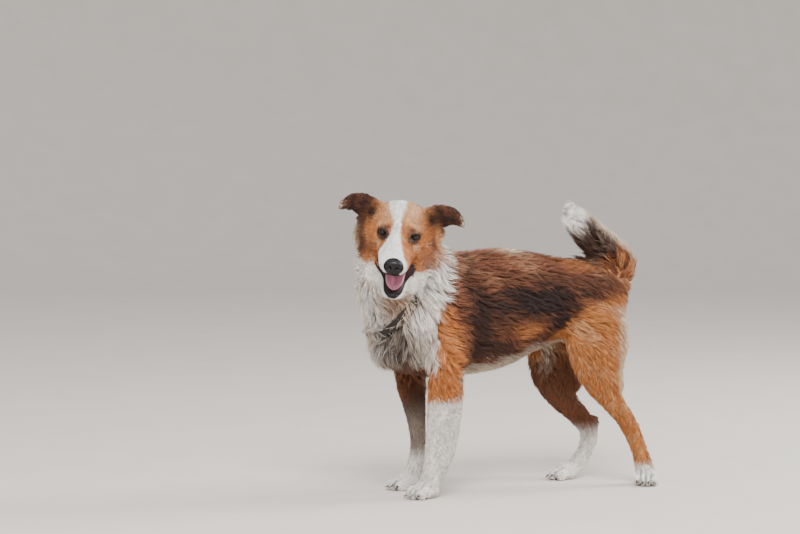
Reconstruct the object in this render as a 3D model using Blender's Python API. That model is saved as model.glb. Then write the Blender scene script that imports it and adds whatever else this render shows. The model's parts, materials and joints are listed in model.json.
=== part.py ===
"""A medium-sized, rough-coated shepherd-type dog, standing, its head turned to its left and its mouth open.

In metres, +Z up: the dog faces -Y and its left side is +X. It is modelled with the origin on the floor
between the front feet, and an empty then carries it so that the middle of its box stands at the origin.
The solids show the dog out to the tips of its coat. The body is modelled whole, as lofts that a voxel
remesh joins, and is then parted by thin cuts into the parts that a person names.
"""

import math

import bmesh
import bpy
import numpy as np
from mathutils import Matrix, Vector

# driving sizes
GAP = 0.0004  # between neighbouring solids
SPINE_BEND = 0.035  # how far the rump swings to the left of a straight spine
SOLE_Z = 0.0  # the flats of the four paws

FRONT_PAW = {"left": (0.062, -0.008), "right": (-0.062, 0.010)}  # paw centres on the floor
HIND_PAW = {"left": (0.116, 0.506), "right": (-0.029, 0.388)}
PAW_SIZE = {"front_left": 1.0, "front_right": 0.95, "hind_left": 0.98, "hind_right": 0.94}
PAW_TURN = {"front_left": 12, "front_right": -4, "hind_left": 52, "hind_right": 0}  # degrees outwards

HEAD_AT = Vector((0.0765, -0.0785, 0.5485))  # midway between the eyes
HEAD_YAW, HEAD_PITCH, HEAD_ROLL = 58.8, 21.5, 9.0  # degrees to the left, down, and left side down
JAW_HINGE, JAW_OPEN = Vector((-0.062, 0.0, -0.036)), 19.0  # in the head's own frame, degrees
JAW_ASIDE = 0.005  # how far the open jaw hangs to the left of the middle
EYE_APART, EYE_RADIUS = 0.0620, 0.0115

BODY_VOXEL = 0.0032
HEAD_FACES, BODY_FACES = 6880, 3380  # triangles of the whole dog at the finer and the coarser thinning
HEAD_BACK, HEAD_BOTTOM, EAR_BOTTOM = -0.084, -0.112, -0.034  # planes that bound the head, in its own frame
HEAD_RIGHT, HEAD_LEFT = -0.104, 0.102
EAR_LOW = -0.0135  # below this the hair behind the cheek begins
EAR_CUT, EAR_TILT = Vector((-0.064, 0.066, 0.020)), 35.0  # where an ear parts from the head, degrees it leans
TAIL_CUT, TAIL_TILT = Vector((0.030, 0.460, 0.453)), -28.0
FORELEG_CUT = 0.2290  # height at which the forelegs part from the trunk
HIND_CUT, HIND_TILT = Vector((0.0, 0.262, 0.279)), 6.0
NECK_CUT = -0.034  # distance along the neck from the collar to where the trunk begins
COLLAR_AT, COLLAR_ALONG = Vector((-0.004, -0.012, 0.448)), Vector((0.0, -0.78, 0.62))
COLLAR_WIDTH, COLLAR_THICK, COLLAR_SUNK = 0.018, 0.003, 0.006
COLLAR_CLEAR = 0.012  # how far above the collar the head's space ends
EYE_IN = -0.0095  # how far the middle of an eye lies behind the origin of the head
NOSE_AT, NOSE_RADII = Vector((0.0955, 0.0, -0.0270)), Vector((0.0145, 0.0195, 0.0165))
CRUMB = 1e-6  # cubic metres: smaller loose bits are left out
SMOOTH_UNDER = 50.0  # degrees: sharper edges than this stay sharp
SIDES = {"left": 1, "right": -1}


# general tools
def clear_scene():
    for old in list(bpy.data.objects):
        bpy.data.objects.remove(old, do_unlink=True)


def material(name, colour, roughness=0.7, metallic=0.0):
    made = bpy.data.materials.new(name)
    made.use_nodes = True
    shader = made.node_tree.nodes["Principled BSDF"]
    shader.inputs["Base Color"].default_value = (*colour, 1.0)
    shader.inputs["Roughness"].default_value = roughness
    shader.inputs["Metallic"].default_value = metallic
    made.diffuse_color = (*colour, 1.0)
    return made


def spline(rows, steps):
    """Rows of numbers joined by a smooth curve through them, with the given steps between two rows."""
    rows = np.array(rows, float)
    padded = np.vstack([2 * rows[0] - rows[1], rows, 2 * rows[-1] - rows[-2]])
    made = []
    for i in range(1, len(padded) - 2):
        a, b, c, d = padded[i - 1 : i + 3]
        for t in np.linspace(0, 1, steps, endpoint=False):
            square, cube = (2 * a - 5 * b + 4 * c - d) * t**2, (3 * b - a - 3 * c + d) * t**3
            made.append(0.5 * (2 * b + (c - a) * t + square + cube))
    return np.array([*made, rows[-1]])


def loft(stations, up=(0, 0, 1), sides=28, steps=4, place=None):
    """A closed tube through stations of (x, y, z, half width, half height, egg), as a bmesh.
    Its rings stand square to the path, egg above 0 narrows a ring at the top, and place turns the whole."""
    rows = spline(stations, steps)
    path, half, egg = rows[:, :3], np.maximum(rows[:, 3:5], 0.0008), rows[:, 5]
    tangent = np.gradient(path, axis=0)
    tangent /= np.linalg.norm(tangent, axis=1)[:, None]
    bm = bmesh.new()
    rings = []
    for centre, along, (wide, high), narrow in zip(path, tangent, half, egg):
        side = np.cross(np.array(up, float), along)
        side /= np.linalg.norm(side)
        top = np.cross(along, side)
        ring = []
        for turn in np.linspace(0, 2 * math.pi, sides, endpoint=False):
            across = wide * math.cos(turn) * (1 - narrow * math.sin(turn))
            point = Vector(centre + across * side + high * math.sin(turn) * top)
            ring.append(bm.verts.new(place @ point if place else point))
        rings.append(ring)
    for first, second in zip(rings, rings[1:]):
        for k in range(sides):
            bm.faces.new((first[k], first[(k + 1) % sides], second[(k + 1) % sides], second[k]))
    bm.faces.new(reversed(rings[0]))
    bm.faces.new(rings[-1])
    bmesh.ops.recalc_face_normals(bm, faces=bm.faces)
    return bm


def ball(centre, radii, turn=None, place=None, detail=16):
    """A stretched ball as a bmesh: turn is its own rotation, place carries it into the row frame."""
    bm = bmesh.new()
    bmesh.ops.create_uvsphere(bm, u_segments=detail, v_segments=detail // 2 + 2, radius=1.0)
    matrix = Matrix.Translation(centre) @ (turn or Matrix()) @ Matrix.Diagonal((*radii, 1.0))
    bmesh.ops.transform(bm, matrix=(place or Matrix()) @ matrix, verts=bm.verts)
    return bm


def as_object(name, *meshes):
    """One object of several bmeshes."""
    whole = bmesh.new()
    for bm in meshes:
        part = bpy.data.meshes.new("part")
        bm.to_mesh(part)
        bm.free()
        whole.from_mesh(part)
        bpy.data.meshes.remove(part)
    data = bpy.data.meshes.new(name)
    whole.to_mesh(data)
    whole.free()
    made = bpy.data.objects.new(name, data)
    bpy.context.scene.collection.objects.link(made)
    return made


def applied(obj):
    """The object with its modifiers made part of its mesh."""
    graph = bpy.context.evaluated_depsgraph_get()
    graph.update()
    data = bpy.data.meshes.new_from_object(obj.evaluated_get(graph))
    obj.modifiers.clear()
    obj.data = data
    return obj


def melt(obj, voxel, rounds, keep=1.0):
    """Joins the lofts of an object into one smooth skin, thinned to the share of its faces in keep."""
    remesh = obj.modifiers.new("melt", "REMESH")
    remesh.mode, remesh.voxel_size = "VOXEL", voxel
    smooth = obj.modifiers.new("smooth", "SMOOTH")
    smooth.factor, smooth.iterations = 0.5, rounds
    if keep < 1.0:
        thin = obj.modifiers.new("thin", "DECIMATE")
        thin.ratio = keep
    return applied(obj)


def boolean(obj, operation, other, remove=True):
    step = obj.modifiers.new(operation.lower(), "BOOLEAN")
    step.operation, step.object, step.solver = operation, other, "EXACT"
    applied(obj)
    if remove:
        bpy.data.objects.remove(other, do_unlink=True)
    return obj


# frames of the head and of the body
def head_frame():
    """The head's own frame: +X to the nose, +Y to its left, +Z up, origin between the eyes."""
    turn = Matrix.Rotation(math.radians(HEAD_YAW - 90), 4, "Z")
    pitch = Matrix.Rotation(math.radians(HEAD_PITCH), 4, "Y")
    roll = Matrix.Rotation(math.radians(-HEAD_ROLL), 4, "X")
    return Matrix.Translation(HEAD_AT) @ turn @ pitch @ roll


def jaw_frame():
    """The lower jaw's frame: the head's, turned open about the hinge."""
    open_by = Matrix.Rotation(math.radians(JAW_OPEN), 4, "Y")
    return head_frame() @ Matrix.Translation(JAW_HINGE) @ open_by @ Matrix.Translation(-JAW_HINGE)


def spine_x(y):
    """Sideways place of the spine, which bends to the left behind the ribs."""
    return SPINE_BEND * max(0.0, (y - 0.05) / 0.45) ** 2


# the body
def trunk():
    rows = [  # y, height of the middle, half width, half height, egg
        (-0.104, 0.390, 0.025, 0.036, 0.0),
        (-0.087, 0.380, 0.049, 0.069, 0.0),
        (-0.055, 0.369, 0.077, 0.100, 0.0),
        (-0.015, 0.366, 0.096, 0.118, 0.05),
        (0.040, 0.370, 0.109, 0.131, 0.10),
        (0.105, 0.377, 0.111, 0.134, 0.12),
        (0.165, 0.384, 0.111, 0.134, 0.12),
        (0.225, 0.396, 0.109, 0.125, 0.10),
        (0.285, 0.400, 0.104, 0.108, 0.05),
        (0.340, 0.402, 0.098, 0.095, 0.0),
        (0.395, 0.400, 0.092, 0.091, 0.0),
        (0.440, 0.393, 0.084, 0.085, 0.0),
        (0.475, 0.385, 0.066, 0.065, 0.0),
        (0.494, 0.380, 0.030, 0.035, 0.0),
    ]
    return [loft([(spine_x(y), y, z, wide, high, egg) for y, z, wide, high, egg in rows])]


def neck():
    rows = [
        (0.000, 0.110, 0.388, 0.094, 0.102, 0.0),
        (0.000, 0.055, 0.424, 0.096, 0.092, 0.0),
        (-0.003, 0.005, 0.464, 0.095, 0.086, 0.0),
        (-0.008, -0.035, 0.508, 0.092, 0.078, 0.0),
        (-0.008, -0.056, 0.546, 0.082, 0.068, 0.0),
        (-0.006, -0.064, 0.573, 0.060, 0.046, 0.0),
    ]
    ruff = ball((-0.014, -0.047, 0.455), (0.098, 0.087, 0.132))
    return [loft(rows), ruff]


def front_leg(side):
    left = [  # x, y, z, half width, half length
        (0.060, 0.055, 0.420, 0.020, 0.030),
        (0.076, 0.048, 0.345, 0.036, 0.058),
        (0.086, 0.033, 0.290, 0.035, 0.049),
        (0.085, 0.027, 0.247, 0.034, 0.042),
        (0.083, 0.026, 0.205, 0.031, 0.041),
        (0.079, 0.026, 0.165, 0.030, 0.039),
        (0.074, 0.0255, 0.130, 0.0285, 0.0375),
        (0.070, 0.0215, 0.098, 0.027, 0.035),
        (0.067, 0.0135, 0.064, 0.0245, 0.0275),
        (0.064, 0.004, 0.036, 0.0235, 0.0245),
        (0.062, -0.004, 0.020, 0.022, 0.024),
    ]
    right = [
        (-0.060, 0.055, 0.420, 0.020, 0.030),
        (-0.076, 0.048, 0.345, 0.036, 0.058),
        (-0.085, 0.034, 0.285, 0.034, 0.048),
        (-0.085, 0.033, 0.242, 0.031, 0.040),
        (-0.082, 0.035, 0.205, 0.027, 0.032),
        (-0.078, 0.039, 0.168, 0.023, 0.025),
        (-0.074, 0.042, 0.135, 0.0205, 0.0205),
        (-0.070, 0.043, 0.100, 0.0195, 0.018),
        (-0.066, 0.038, 0.068, 0.0195, 0.018),
        (-0.063, 0.028, 0.038, 0.0205, 0.0195),
        (-0.062, 0.018, 0.020, 0.021, 0.022),
    ]
    return [loft([(*row, 0.0) for row in (left if side == "left" else right)], up=(0, 1, 0))]


def hind_leg(side):
    left = [
        (0.052, 0.400, 0.430, 0.026, 0.045),
        (0.074, 0.400, 0.370, 0.046, 0.074),
        (0.088, 0.394, 0.312, 0.048, 0.078),
        (0.097, 0.392, 0.265, 0.043, 0.065),
        (0.103, 0.401, 0.225, 0.035, 0.046),
        (0.105, 0.421, 0.187, 0.027, 0.0275),
        (0.106, 0.453, 0.148, 0.0225, 0.0220),
        (0.103, 0.475, 0.115, 0.0205, 0.0205),
        (0.106, 0.488, 0.085, 0.0200, 0.0200),
        (0.110, 0.497, 0.055, 0.0205, 0.0205),
        (0.113, 0.502, 0.028, 0.0215, 0.0215),
    ]
    right = [
        (-0.016, 0.400, 0.430, 0.026, 0.045),
        (-0.036, 0.397, 0.370, 0.046, 0.074),
        (-0.049, 0.380, 0.305, 0.048, 0.080),
        (-0.056, 0.367, 0.250, 0.042, 0.059),
        (-0.055, 0.376, 0.205, 0.034, 0.042),
        (-0.050, 0.399, 0.168, 0.027, 0.030),
        (-0.045, 0.431, 0.138, 0.0225, 0.0260),
        (-0.040, 0.453, 0.108, 0.0195, 0.0245),
        (-0.036, 0.451, 0.080, 0.0185, 0.0220),
        (-0.034, 0.439, 0.057, 0.0185, 0.0195),
        (-0.031, 0.421, 0.034, 0.0195, 0.0195),
        (-0.030, 0.406, 0.020, 0.0200, 0.0180),
    ]
    heel = {"left": (0.094, 0.486, 0.122), "right": (-0.041, 0.470, 0.122)}[side]
    breech = {"left": (0.070, 0.436, 0.285), "right": (-0.030, 0.415, 0.285)}[side]
    thigh = loft([(*row, 0.0) for row in (left if side == "left" else right)], up=(0, 1, 0))
    low = Vector(breech) + Vector((0.016 * (1 if side == "left" else -1), 0.004, -0.056))
    feather = [ball(breech, (0.034, 0.043, 0.070)), ball(low, (0.022, 0.027, 0.044))]
    return [thigh, ball(heel, (0.013, 0.014, 0.019)), *feather]


def paw(which, at):
    """Four toes and the ball of the foot, cut flat at the floor later."""
    side = which.split("_")[1]
    s = SIDES[side]
    turn = math.radians(PAW_TURN[which]) * s - math.pi / 2
    frame = Matrix.Translation((*at, 0.0)) @ Matrix.Rotation(turn, 4, "Z")
    size = PAW_SIZE[which]
    made = [ball(Vector((-0.006, 0, 0.018)) * size, Vector((0.030, 0.025, 0.024)) * size, place=frame)]
    for k in (-1.5, -0.5, 0.5, 1.5):
        inner = abs(k) < 1
        spread = Matrix.Rotation(math.radians(7 * k), 4, "Z")
        toe = Vector((0.029 if inner else 0.018, 0.0125 * k, 0.0120)) * size
        made.append(ball(toe, Vector((0.0185, 0.0088, 0.0165)) * size, turn=spread, place=frame, detail=14))
    return made


def tail():
    rows = [  # x, y, z, half width, half height
        (0.030, 0.462, 0.424, 0.040, 0.036),
        (0.030, 0.485, 0.450, 0.040, 0.046),
        (0.030, 0.479, 0.484, 0.040, 0.047),
        (0.030, 0.447, 0.513, 0.040, 0.044),
        (0.030, 0.410, 0.539, 0.038, 0.042),
        (0.030, 0.385, 0.563, 0.034, 0.037),
        (0.030, 0.367, 0.585, 0.027, 0.030),
        (0.030, 0.353, 0.600, 0.016, 0.018),
        (0.030, 0.347, 0.606, 0.005, 0.005),
    ]
    return [loft([(*row, 0.0) for row in rows], up=(1, 0, 0))]


# the head
def skull():
    place = head_frame()
    rows = [  # x, height of the middle, half width, half height, egg
        (-0.124, -0.006, 0.034, 0.036, 0.0),
        (-0.108, -0.010, 0.062, 0.056, 0.05),
        (-0.082, -0.015, 0.079, 0.068, 0.12),
        (-0.054, -0.019, 0.081, 0.070, 0.18),
        (-0.030, -0.021, 0.071, 0.062, 0.25),
        (-0.010, -0.022, 0.055, 0.050, 0.28),
        (0.008, -0.023, 0.0430, 0.0390, 0.25),
        (0.026, -0.025, 0.0375, 0.0315, 0.22),
        (0.050, -0.0270, 0.0345, 0.0265, 0.20),
        (0.076, -0.0285, 0.0318, 0.0240, 0.15),
        (0.094, -0.0300, 0.0265, 0.0195, 0.05),
        (0.104, -0.0310, 0.0150, 0.0120, 0.0),
    ]
    made = [loft([(x, 0, z, wide, high, egg) for x, z, wide, high, egg in rows], place=place)]
    for s in SIDES.values():
        made.append(ball((-0.017, 0.026 * s, 0.011), (0.020, 0.016, 0.012), place=place))  # brow
        made.append(ball((-0.080, 0.064 * s, -0.034), (0.024, 0.036, 0.044), place=place))  # cheek hair
    return made


def jaw():
    rows = [
        (-0.060, -0.056, 0.048, 0.026, 0.0),
        (-0.020, -0.060, 0.042, 0.021, 0.0),
        (0.020, -0.062, 0.034, 0.0170, -0.1),
        (0.050, -0.0625, 0.0290, 0.0150, -0.1),
        (0.074, -0.0620, 0.0250, 0.0135, -0.1),
        (0.088, -0.0605, 0.0185, 0.0110, 0.0),
        (0.094, -0.0600, 0.0080, 0.0060, 0.0),
    ]
    return [loft([(x, JAW_ASIDE, z, wide, high, egg) for x, z, wide, high, egg in rows], place=jaw_frame())]


def ear(side):
    """A half pricked ear: it rises from the side of the skull and its tip folds over outwards."""
    s = SIDES[side]
    rows = [  # x, y, z, half width, half thickness
        (-0.066, 0.040 * s, 0.006, 0.029, 0.0120, 0.0),
        (-0.066, 0.056 * s, 0.016, 0.030, 0.0100, 0.0),
        (-0.065, 0.076 * s, 0.027, 0.029, 0.0075, 0.0),
        (-0.062, 0.095 * s, 0.034, 0.0255, 0.0060, 0.0),
        (-0.057, 0.111 * s, 0.033, 0.0190, 0.0053, 0.0),
        (-0.050, 0.123 * s, 0.0265, 0.0115, 0.0050, 0.0),
        (-0.044, 0.132 * s, 0.020, 0.0045, 0.0045, 0.0),
    ]
    return [loft(rows, up=(1, 0, 0), sides=24, place=head_frame())]


def tongue():
    rows = [  # it lies in the lower jaw
        (-0.020, -0.047, 0.026, 0.0060, 0.0),
        (0.020, -0.0460, 0.0235, 0.0065, 0.0),
        (0.055, -0.0440, 0.0195, 0.0060, 0.0),
        (0.074, -0.0445, 0.0145, 0.0050, 0.0),
        (0.082, -0.0460, 0.0060, 0.0030, 0.0),
    ]
    stations = [(x, JAW_ASIDE, z, wide, high, egg) for x, z, wide, high, egg in rows]
    return [loft(stations, sides=14, steps=3, place=jaw_frame())]


# parting the body
def slab(frame, low, high):
    """A box from its low to its high corner in a frame, as an object to cut with."""
    bm = bmesh.new()
    bmesh.ops.create_cube(bm, size=1.0)
    low, high = Vector(low), Vector(high)
    size = high - low
    local = Matrix.Translation((low + high) / 2) @ Matrix.Diagonal((*size, 1.0))
    bmesh.ops.transform(bm, matrix=frame @ local, verts=bm.verts)
    return as_object("slab", bm)


def head_room(grow):
    """The space that belongs to the head, grown all round."""
    right, left, far = HEAD_RIGHT - grow, HEAD_LEFT + grow, 0.2 + grow
    bottom, step = HEAD_BOTTOM - grow, EAR_BOTTOM - grow
    lower = [(right, bottom), (left, bottom), (left, step), (far, step)]
    outline = [*lower, (far, far), (-far, far), (-far, step - 0.004), (right, step - 0.002)]
    bm = bmesh.new()
    place = head_frame()
    ends = []
    for x in (HEAD_BACK - grow, far):
        ends.append([bm.verts.new(place @ Vector((x, y, z))) for y, z in outline])
    bm.faces.new(reversed(ends[0]))
    bm.faces.new(ends[1])
    for k in range(len(outline)):
        after = (k + 1) % len(outline)
        bm.faces.new((ends[0][k], ends[0][after], ends[1][after], ends[1][k]))
    bmesh.ops.recalc_face_normals(bm, faces=bm.faces)
    under = slab(collar_frame(), (-0.5, -0.5, -0.6), (0.5, 0.5, COLLAR_CLEAR - grow))
    return boolean(as_object("room", bm), "DIFFERENCE", under)


def copy_of(obj, name):
    made = obj.copy()
    made.data = obj.data.copy()
    made.name = name
    bpy.context.scene.collection.objects.link(made)
    return made


def thinned(obj, faces):
    """Collapses the object to about the given number of triangles."""
    obj.data.calc_loop_triangles()
    thin = obj.modifiers.new("thin", "DECIMATE")
    thin.ratio = min(1.0, faces / max(1, len(obj.data.loop_triangles)))
    thin.use_collapse_triangulate = True
    return applied(obj)


def islands(obj):
    """Splits an object into its loose bodies, leaving out crumbs under a cubic centimetre."""
    bm = bmesh.new()
    bm.from_mesh(obj.data)
    bm.verts.ensure_lookup_table()
    label = [-1] * len(bm.verts)
    count = 0
    for seed in bm.verts:
        if label[seed.index] >= 0:
            continue
        stack = [seed]
        label[seed.index] = count
        while stack:
            for edge in stack.pop().link_edges:
                for end in edge.verts:
                    if label[end.index] < 0:
                        label[end.index] = count
                        stack.append(end)
        count += 1
    made = []
    for k in range(count):
        part = bm.copy()
        part.verts.ensure_lookup_table()
        bmesh.ops.delete(part, geom=[v for v in part.verts if label[v.index] != k], context="VERTS")
        if abs(part.calc_volume()) > CRUMB:
            made.append(as_object(obj.name + "_" + str(k), part))
        else:
            part.free()
    bm.free()
    bpy.data.objects.remove(obj, do_unlink=True)
    return made


def middle(obj):
    points = np.empty(len(obj.data.vertices) * 3)
    obj.data.vertices.foreach_get("co", points)
    return Vector(points.reshape(-1, 3).mean(axis=0))


def name_by_place(parts, places):
    """Gives each loose body the name of the nearest of the given places."""
    named = {}
    for part in parts:
        name = min(places, key=lambda key: (middle(part) - Vector(places[key])).length)
        if name in named:
            raise RuntimeError("two bodies at the place of " + name)
        part.name = part.data.name = name
        named[name] = part
    return named


def collar_frame():
    """Origin in the middle of the collar, +Z along the neck to the head, +Y down the front of the neck."""
    along = COLLAR_ALONG.normalized()
    aside = Vector((1.0, 0.0, 0.0))
    frame = Matrix((aside, along.cross(aside), along)).transposed().to_4x4()
    return Matrix.Translation(COLLAR_AT) @ frame


def band(radii, inner, outer, half_width, name):
    """A ring with a flat section that follows the given outline radii, widened by inner and outer."""
    frame = collar_frame()
    bm = bmesh.new()
    rings = []
    for k, radius in enumerate(radii):
        turn = 2 * math.pi * k / len(radii)
        ring = []
        section = ((inner, -half_width), (outer, -half_width), (outer, half_width), (inner, half_width))
        for grow, lift in section:
            reach = radius + grow
            ring.append(bm.verts.new(frame @ Vector((reach * math.cos(turn), reach * math.sin(turn), lift))))
        rings.append(ring)
    for k, ring in enumerate(rings):
        after = rings[(k + 1) % len(rings)]
        for j in range(4):
            bm.faces.new((ring[j], after[j], after[(j + 1) % 4], ring[(j + 1) % 4]))
    bmesh.ops.recalc_face_normals(bm, faces=bm.faces)
    return as_object(name, bm)


def neck_outline(body, count=48):
    """Distance from the collar's middle to the coat, all round, smoothed."""
    frame = collar_frame()
    inverse = body.matrix_world.inverted()
    found = []
    for k in range(count):
        turn = 2 * math.pi * k / count
        outward = frame.to_3x3() @ Vector((math.cos(turn), math.sin(turn), 0.0))
        start = frame.translation + outward * 0.25
        hit, place, _, _ = body.ray_cast(inverse @ start, -outward)
        found.append((place - frame.translation).length if hit else 0.09)
    found = np.array(found)
    for _ in range(8):
        found = 0.5 * found + 0.25 * (np.roll(found, 1) + np.roll(found, -1))
    return found


def claws(which, at):
    """Four short claws, to be joined to the paw."""
    side = which.split("_")[1]
    turn = math.radians(PAW_TURN[which]) * SIDES[side] - math.pi / 2
    frame = Matrix.Translation((*at, 0.0)) @ Matrix.Rotation(turn, 4, "Z")
    size = PAW_SIZE[which]
    made = []
    for k in (-1.5, -0.5, 0.5, 1.5):
        root = Vector((0.0430 if abs(k) < 1 else 0.0320, 0.0132 * k, 0.0125)) * size
        tip = root + Vector((0.0110, 0.0006 * k, -0.0075)) * size
        taper = ((0.0, 0.0030), (0.5, 0.0024), (1.0, 0.0009))
        rows = [(*root.lerp(tip, share), thick, thick, 0.0) for share, thick in taper]
        made.append(loft(rows, sides=6, steps=1, place=frame))
    return made


def closed_patch(obj):
    """Welds the tiny edges that cutting leaves, keeping the body closed."""
    bm = bmesh.new()
    bm.from_mesh(obj.data)
    bmesh.ops.remove_doubles(bm, verts=bm.verts, dist=0.00008)
    bmesh.ops.dissolve_degenerate(bm, edges=bm.edges, dist=0.00005)
    bmesh.ops.triangulate(bm, faces=[face for face in bm.faces if len(face.verts) > 3])
    bmesh.ops.recalc_face_normals(bm, faces=bm.faces)
    bm.to_mesh(obj.data)
    bm.free()
    return obj


def make_head(whole):
    """The head with its two ears, eyes, nose and tongue, as named objects."""
    place = head_frame()
    head = thinned(copy_of(whole, "head"), HEAD_FACES)
    boolean(head, "INTERSECT", head_room(0.0))
    made = {}
    around_nose = NOSE_RADII + Vector((GAP, GAP, GAP))
    boolean(head, "DIFFERENCE", as_object("cut", ball(NOSE_AT, around_nose, place=place, detail=14)))
    made["nose"] = as_object("nose", ball(NOSE_AT, NOSE_RADII, place=place, detail=14))
    for side, s in SIDES.items():
        eye_at = Vector((EYE_IN, EYE_APART / 2 * s, 0.0))
        hollow = ball(eye_at + Vector((0.0125, 0.0030 * s, 0.0)), (0.0125, 0.0115, 0.0085), place=place)
        boolean(head, "DIFFERENCE", as_object("cut", hollow))
        around_eye = ball(eye_at, [EYE_RADIUS + GAP] * 3, place=place, detail=14)
        boolean(head, "DIFFERENCE", as_object("cut", around_eye))
        made[side + "_eye"] = as_object(side + "_eye", ball(eye_at, [EYE_RADIUS] * 3, place=place, detail=14))
        tilt = Matrix.Rotation(math.radians(EAR_TILT * s), 4, "X")
        at_ear = place @ Matrix.Translation((EAR_CUT.x, EAR_CUT.y * s, EAR_CUT.z)) @ tilt
        boolean(head, "DIFFERENCE", slab(at_ear, (-0.05, -GAP / 2, -0.045), (0.05, GAP / 2, 0.10)))
        across = sorted((0.083 * s, 0.180 * s))
        boolean(head, "DIFFERENCE", slab(place, (-0.13, across[0], EAR_LOW), (0.0, across[1], EAR_LOW + GAP)))
    made["tongue"] = as_object("tongue", *tongue())
    room = as_object("cut", *tongue())
    grow = room.modifiers.new("grow", "DISPLACE")
    grow.strength, grow.mid_level = GAP, 0.0
    applied(room)
    boolean(head, "DIFFERENCE", room)
    places = {"head": place @ Vector((-0.02, 0, -0.02))}
    for side, s in SIDES.items():
        places[side + "_ear"] = place @ Vector((-0.060, 0.100 * s, 0.030))
    made.update(name_by_place(islands(head), places))
    return made


def make_body(whole):
    """Neck, trunk, tail and legs with flat soles, and the collar lying in the coat of the neck."""
    body = thinned(copy_of(whole, "body"), BODY_FACES)
    boolean(body, "DIFFERENCE", slab(Matrix(), (-1, -1, -1), (1, 1, SOLE_Z)))
    boolean(body, "DIFFERENCE", head_room(GAP))
    outline = neck_outline(whole)
    inner = -COLLAR_SUNK - COLLAR_THICK
    boolean(body, "DIFFERENCE", band(outline, inner - GAP, 0.03, COLLAR_WIDTH / 2 + GAP, "cut"))
    made = {"collar": band(outline, inner, -COLLAR_SUNK, COLLAR_WIDTH / 2, "collar")}
    neck_cut = collar_frame() @ Matrix.Translation((0, 0, NECK_CUT))
    boolean(body, "DIFFERENCE", slab(neck_cut, (-0.20, -0.20, -GAP / 2), (0.20, 0.20, GAP / 2)))
    tail_cut = Matrix.Translation(TAIL_CUT) @ Matrix.Rotation(math.radians(TAIL_TILT), 4, "X")
    boolean(body, "DIFFERENCE", slab(tail_cut, (-0.12, -0.088, -GAP / 2), (0.12, 0.095, GAP / 2)))
    boolean(body, "DIFFERENCE", slab(Matrix(), (-0.2, -0.1, FORELEG_CUT), (0.2, 0.13, FORELEG_CUT + GAP)))
    hind_cut = Matrix.Translation(HIND_CUT) @ Matrix.Rotation(math.radians(HIND_TILT), 4, "X")
    boolean(body, "DIFFERENCE", slab(hind_cut, (-0.2, 0.0, 0.0), (0.25, 0.30, GAP)))
    places = {
        "neck": (0.0, -0.02, 0.46),
        "trunk": (0.01, 0.23, 0.39),
        "tail": (0.03, 0.43, 0.53),
        "left_foreleg": (0.07, 0.02, 0.10),
        "right_foreleg": (-0.07, 0.03, 0.10),
        "left_hind_leg": (0.10, 0.45, 0.14),
        "right_hind_leg": (-0.045, 0.41, 0.14),
    }
    made.update(name_by_place(islands(body), places))
    for side in SIDES:
        for which, leg, at in (("front_", "_foreleg", FRONT_PAW), ("hind_", "_hind_leg", HIND_PAW)):
            for claw in claws(which + side, at[side]):
                boolean(made[side + leg], "UNION", as_object("claw", claw))
    return made


def coat_materials():
    """The material of each part by its name; parts that aren't named here wear the sable coat."""
    iris = material("eye_brown", (0.06, 0.03, 0.015), 0.15)
    return {
        "coat": material("coat_sable", (0.42, 0.20, 0.09), 0.85),
        "neck": material("coat_white", (0.82, 0.77, 0.70), 0.85),
        "left_eye": iris,
        "right_eye": iris,
        "nose": material("nose_black", (0.02, 0.018, 0.018), 0.4),
        "tongue": material("tongue_pink", (0.62, 0.28, 0.30), 0.35),
        "collar": material("strap_dark", (0.035, 0.028, 0.025), 0.6),
    }


def whole_dog():
    """The whole outline of the dog as one skin."""
    flesh = trunk() + neck() + tail() + skull() + jaw()
    for side in SIDES:
        flesh += front_leg(side) + hind_leg(side) + ear(side)
        flesh += paw("front_" + side, FRONT_PAW[side]) + paw("hind_" + side, HIND_PAW[side])
    whole = as_object("whole", *flesh)
    return melt(whole, BODY_VOXEL, 5)


def finish_surface(part, look):
    closed_patch(part)
    part.data.materials.clear()
    part.data.materials.append(look)
    part.data.shade_smooth()
    part.data.set_sharp_from_angle(angle=math.radians(SMOOTH_UNDER))


def stand_up(parts):
    """Gives each part its middle as its origin, under an empty that stands the dog on the origin."""
    corners = np.array([vertex.co for part in parts for vertex in part.data.vertices])
    low, high = corners.min(axis=0), corners.max(axis=0)
    dog = bpy.data.objects.new("dog", None)
    bpy.context.scene.collection.objects.link(dog)
    dog.location = (-(low[0] + high[0]) / 2, -(low[1] + high[1]) / 2, -low[2])
    for part in parts:
        centre = middle(part)
        part.data.transform(Matrix.Translation(-centre))
        part.location = centre
        part.parent = dog
    bpy.context.view_layer.update()
    print("moved by", [round(value, 5) for value in dog.location])


def main():
    clear_scene()
    looks = coat_materials()
    whole = whole_dog()
    parts = {**make_head(whole), **make_body(whole)}
    bpy.data.objects.remove(whole, do_unlink=True)
    for name, part in parts.items():
        finish_surface(part, looks.get(name, looks["coat"]))
    stand_up(list(parts.values()))


main()
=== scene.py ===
import json
import math

import bmesh
import bpy
import numpy as np
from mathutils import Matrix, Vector
from mathutils.bvhtree import BVHTree
from mathutils.kdtree import KDTree

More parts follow.
